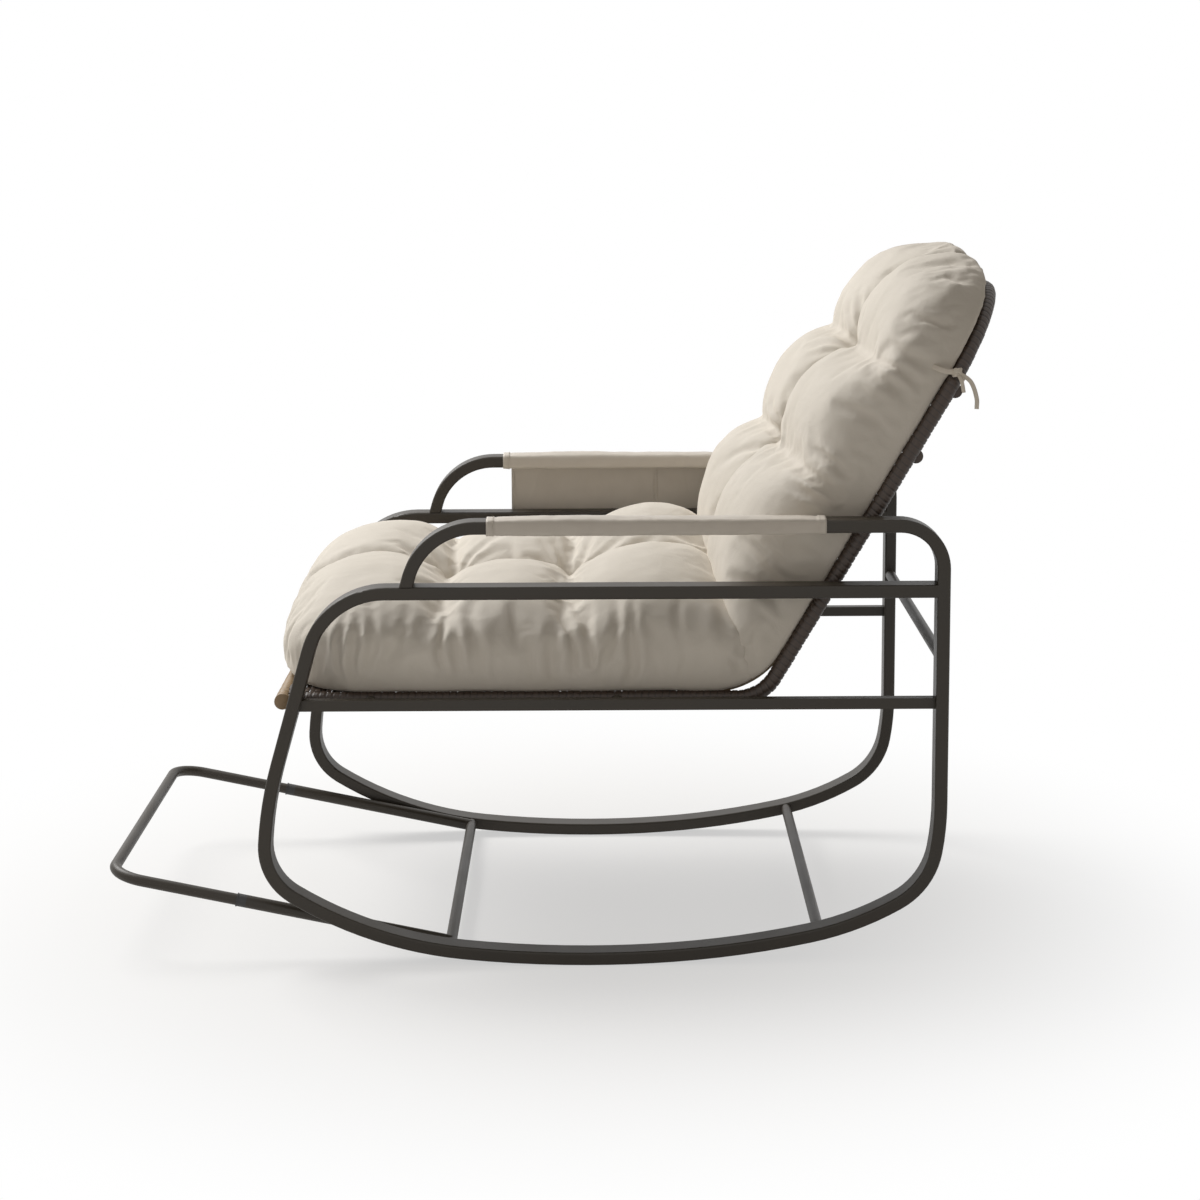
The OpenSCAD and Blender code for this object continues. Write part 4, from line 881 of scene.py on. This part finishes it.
for side, sideName in ((1, "Left"), (-1, "Right")):
    inner = coverSection()
    around, count = len(inner), cover["rings"]
    outerRings, innerRings = [], []
    for i in range(count + 1):
        share = i / count
        y = cover["front"] + cover["length"] * share
        edge = min(share, 1 - share) * cover["length"]
        hem = 1.0 if edge < cover["hem"] else 0.0
        ridge = 0.0007 * math.exp(-((edge - cover["hem"]) / 0.0015) ** 2)
        puff = math.sin(math.pi * min(1, max(0, edge / 0.12)) / 2)  # looser away from the hems, most at the front
        puff *= 0.4 + 0.6 * math.exp(-((share - 0.22) / 0.2) ** 2)
        ring = []
        for j, (px, pz) in enumerate(inner):
            out = Vector((px / armHalfWide, 0, pz / armHalfThick)).normalized()
            ripple = noise.fractal(Vector((px * 40 + share * 9, share * 16 - px * 60, pz * 40 + side * 3)), 1.0, 2.0, 3)
            grow = cover["cloth"] + 0.0006 * hem - ridge + cover["crease"] * ripple
            lift = cover["puff"] * puff * max(0, out.z) * max(0, 1 - (px / 0.021) ** 2)
            sag = 0.0015 * puff * max(0, -out.z) * max(0, 1 - (px / 0.021) ** 2)
            bulge = 0.0012 * puff * abs(out.x)
            ring.append((side * chair["armX"] + px + out.x * (grow + bulge), y,
                         chair["armZ"] + pz + out.z * grow + lift - sag))
        outerRings.append(ring)
        innerRings.append([(side * chair["armX"] + px, y, chair["armZ"] + pz) for px, pz in inner])
    verts = [p for ring in outerRings for p in ring] + [p for ring in innerRings for p in ring]
    offset = (count + 1) * around
    faces = []
    for a, b, c, d in ringFaces(0, count + 1, around):
        faces.append((a, d, c, b))
        faces.append((offset + b, offset + c, offset + d, offset + a))
    for j in range(around):
        k = (j + 1) % around
        faces.append((j, k, offset + k, offset + j))
        faces.append((count * around + k, count * around + j, offset + count * around + j, offset + count * around + k))
    sleeve = makePiece("armCover" + sideName, verts, faces, coverCloth)
    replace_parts(sleeve, "arm_cover_" + sideName.lower())
    verts, faces = [], []
    seamPlace = cover["hem"] - cover["seamIn"]
    for place in (seamPlace, cover["length"] - seamPlace):
        ring = outerRings[round(place / cover["length"] * count)]
        normals = [(px / armHalfWide, 0, pz / armHalfThick) for px, pz in inner]
        stitches(verts, faces, ring + ring[:1], normals, cover["stitch"])
    seam = makePiece("armCoverStitches" + sideName, verts, faces, coverThread)
print("arm covers made")

# Pocket: a backing that hangs from the right arm cover, with two pouches of 128 mm height outside
pocket = {"x": -0.3318, "drop": 0.196, "pouchHigh": 0.128, "frontPouch": 0.233, "room": 0.009, "cloth": 0.0015,
          "seamIn": 0.012, "seamGap": 0.006, "stitch": 0.0009, "stitchPitch": 0.0045}


def panel(name, columns, rows, placeOf, node):  # a sheet with thickness, laid out by placeOf from 0 to 1 each way
    front = [Vector(placeOf(i / columns, j / rows)) for j in range(rows + 1) for i in range(columns + 1)]
    back = [p + Vector((pocket["cloth"], 0, 0)) for p in front]
    total, wide = len(front), columns + 1
    faces = []
    for j in range(rows):
        for i in range(columns):
            a = j * wide + i
            faces.append((a, a + wide, a + wide + 1, a + 1))
            faces.append((total + a, total + a + 1, total + a + wide + 1, total + a + wide))
    rimLoop = ([i for i in range(wide)] + [j * wide + columns for j in range(1, rows + 1)]
               + [rows * wide + i for i in range(columns - 1, -1, -1)] + [j * wide for j in range(rows - 1, 0, -1)])
    for a, b in zip(rimLoop, rimLoop[1:] + rimLoop[:1]):
        faces.append((a, b, total + b, total + a))
    piece = makePiece(name, front + back, faces, coverCloth)
    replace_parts(piece, node)
    return piece


pocketFront = cover["front"] + cover["hem"]
pocketLength = cover["length"] - 2 * cover["hem"]
pocketLow = chair["armZ"] - pocket["drop"]


def backingPlace(u, v):
    wave = 0.0012 * math.sin(u * 17 + v * 3) * (1 - v) + 0.0008 * math.sin(u * 41)
    bow = 0.002 * math.sin(math.pi * u) * (1 - v)
    return (pocket["x"] - pocket["cloth"] - max(0, wave + bow) * 0.6, pocketFront + pocketLength * u,
            pocketLow + pocket["drop"] * v + 0.0015 * math.sin(u * 9) * (1 - v))


backing = panel("pocketBacking", 110, 50, backingPlace, "pocket_backing")
verts, faces = [], []
seamU = pocket["frontPouch"] / pocketLength
seams = [[(u, v) for v in np.linspace(0.02, 0.9, 40)]
         for u in (pocket["seamIn"], seamU - pocket["seamGap"], seamU + pocket["seamGap"], 1 - pocket["seamIn"])]
seams.append([(u, 0.03) for u in np.linspace(pocket["seamIn"], 1 - pocket["seamIn"], 95)])
for seam in seams:  # on the inner face, as the photograph shows them
    line = [Vector(backingPlace(u, v)) + Vector((pocket["cloth"] + 0.0001, 0, 0)) for u, v in seam]
    stitches(verts, faces, line, [(1, 0, 0)] * len(line), pocket["stitch"])
backingSeams = makePiece("pocketStitches", verts, faces, coverThread)


def pouchPlace(y0, length):
    def place(u, v):
        side = min(u, 1 - u) * length
        bulge = (1 - math.exp(-side / 0.010)) * (1 - math.exp(-v * pocket["pouchHigh"] / 0.012))
        belly = 1 + 0.35 * math.sin(math.pi * u) * math.sin(math.pi * (0.25 + 0.6 * v))
        fold = 0.0006 * math.sin(u * 13 + v * 3) + 0.0004 * math.sin(v * 6 - u * 5)
        out = pocket["cloth"] * 2.1 + (pocket["room"] - 0.001) * bulge * belly + fold * bulge
        return (pocket["x"] - out, y0 + length * u, pocketLow + 0.001 + pocket["pouchHigh"] * v)
    return place


for name, y0, length, node in (
        ("pocketPouchFront", pocketFront, pocket["frontPouch"], "pocket_pouch_front"),
        ("pocketPouchRear", pocketFront + pocket["frontPouch"], pocketLength - pocket["frontPouch"],
         "pocket_pouch_rear")):
    placeOf = pouchPlace(y0 + 0.0006, length - 0.0012)
    pouch = panel(name, 64, 36, placeOf, node)
    verts, faces = [], []
    for v in (0.955, 0.035):
        line = [Vector(placeOf(u, v)) - Vector((0.0001, 0, 0))
                for u in np.linspace(0.98, 0.02, round(length / pocket["stitchPitch"]))]
        stitches(verts, faces, line, [(-1, 0, 0)] * len(line), pocket["stitch"])
    trim = makePiece(name + "Stitches", verts, faces, coverThread)
print("pocket made")


# Studio: a pale paper floor, two soft lamps and the photograph's camera
stage = {"size": 14.0, "below": 0.0005, "near": 0.3, "far": 1.2, "nearWhite": 0.55, "floor": "#f7f6f4",
         "skyColour": (1.0, 0.92, 0.82, 1), "skyStrength": 0.24}
floorMesh = bpy.data.meshes.new("studioFloor")
half = stage["size"] / 2
floorMesh.from_pydata([(-half, -half, 0), (half, -half, 0), (half, half, 0), (-half, half, 0)], [], [(0, 1, 2, 3)])
floor = bpy.data.objects.new("studioFloor", floorMesh)
floor.location = (0, 0, -stage["below"])
bpy.context.scene.collection.objects.link(floor)
paper = bpy.data.materials.new("paleStudioPaper")  # rolled paper: matte, fades into white round the chair
paper.use_nodes = True
tree = paper.node_tree
tree.nodes.clear()
matte = addNode(tree, "BsdfDiffuse", {"Color": hexColor(stage["floor"]), "Roughness": 0.5})
glow = addNode(tree, "Emission", {"Color": (1, 1, 1, 1), "Strength": 1.0})
place = addNode(tree, "TexCoord").outputs["Object"]
radius = addNode(tree, "VectorMath", {"operation": "LENGTH"}, {0: place})
ramp = addNode(tree, "MapRange", {"interpolation_type": "SMOOTHSTEP", "From Min": stage["near"],
                                            "From Max": stage["far"]}, {"Value": radius.outputs["Value"]})
ray = addNode(tree, "LightPath")
seen = addNode(tree, "Math", {"operation": "MAXIMUM"}, {0: ray.outputs["Is Camera Ray"],
                                                                  1: ray.outputs["Is Glossy Ray"]})
pale = addNode(tree, "Math", {"operation": "MULTIPLY_ADD", 1: 1 - stage["nearWhite"], 2: stage["nearWhite"]},
               {0: ramp.outputs["Result"]})
share = addNode(tree, "Math", {"operation": "MULTIPLY"}, {0: pale.outputs["Value"], 1: seen.outputs["Value"]})
mixed = addNode(tree, "MixShader", links={"Fac": share.outputs["Value"], 1: matte.outputs["BSDF"],
                                                    2: glow.outputs["Emission"]})
addNode(tree, "OutputMaterial", links={"Surface": mixed.outputs["Shader"]})
floorMesh.materials.append(paper)

world = bpy.data.worlds.new("studioWorld")
bpy.context.scene.world = world
world.use_nodes = True
tree = world.node_tree
tree.nodes.clear()
ray = addNode(tree, "LightPath")
bounce = addNode(tree, "Math", {"operation": "MAXIMUM"}, {0: ray.outputs["Is Camera Ray"],
                                                                    1: ray.outputs["Is Glossy Ray"]})
bounce = addNode(tree, "Math", {"operation": "MAXIMUM"}, {0: bounce.outputs["Value"],
                                                                    1: ray.outputs["Is Transmission Ray"]})
soft = addNode(tree, "Background", {"Color": stage["skyColour"], "Strength": stage["skyStrength"]})
white = addNode(tree, "Background", {"Color": (1, 1, 1, 1), "Strength": 1.0})
mixed = addNode(tree, "MixShader", links={"Fac": bounce.outputs["Value"], 1: soft.outputs["Background"],
                                                    2: white.outputs["Background"]})
addNode(tree, "OutputWorld", links={"Surface": mixed.outputs["Shader"]})


lamps = {
    "keyLamp": {"place": (-1.3, -1.9, 2.9), "target": (0, 0.0, 0.4), "size": (2.0, 2.0), "power": 124,
                "colour": (1.0, 0.995, 0.985)},
    "fillLamp": {"place": (3.6, -1.2, 1.7), "target": (0, 0.1, 0.5), "size": (2.0, 1.6), "power": 4,
                 "colour": (1.0, 0.985, 0.96)},
}
for name, lamp in lamps.items():
    light = bpy.data.lights.new(name, "AREA")
    light.shape = "RECTANGLE"
    light.size, light.size_y = lamp["size"]
    light.energy, light.color = lamp["power"], lamp["colour"]
    holder = bpy.data.objects.new(name, light)
    holder.location = Vector(lamp["place"]) + home
    holder.rotation_euler = (Vector(lamp["target"]) - Vector(lamp["place"])).to_track_quat("-Z", "Y").to_euler()
    bpy.context.scene.collection.objects.link(holder)
print("lamps placed")

view = {"place": (3.6775, 0.0165, 1.1915), "pitch": 8.111, "yaw": 0.022, "roll": -0.268, "lens": 75.29, "shiftY": -0.12}
cameraData = bpy.data.cameras.new("photoCamera")
cameraData.lens = view["lens"]
cameraData.sensor_width = 36
cameraData.shift_y = view["shiftY"]
cameraData.clip_end = 60
camera = bpy.data.objects.new("photoCamera", cameraData)
pitch, yaw, roll = (math.radians(view[k]) for k in ("pitch", "yaw", "roll"))
ahead = Vector((-math.cos(yaw), math.sin(yaw), 0))
right = ahead.cross(Vector((0, 0, 1))).normalized()
ahead = ahead * math.cos(pitch) - Vector((0, 0, 1)) * math.sin(pitch)
above = right.cross(ahead)
right, above = right * math.cos(roll) + above * math.sin(roll), above * math.cos(roll) - right * math.sin(roll)
camera.matrix_world = Matrix.Translation(Vector(view["place"]) + home) @ Matrix(
    (right, above, -ahead)).transposed().to_4x4()
bpy.context.scene.collection.objects.link(camera)
bpy.context.scene.camera = camera

bpy.context.scene.view_settings.view_transform = "Standard"

print("scene done")
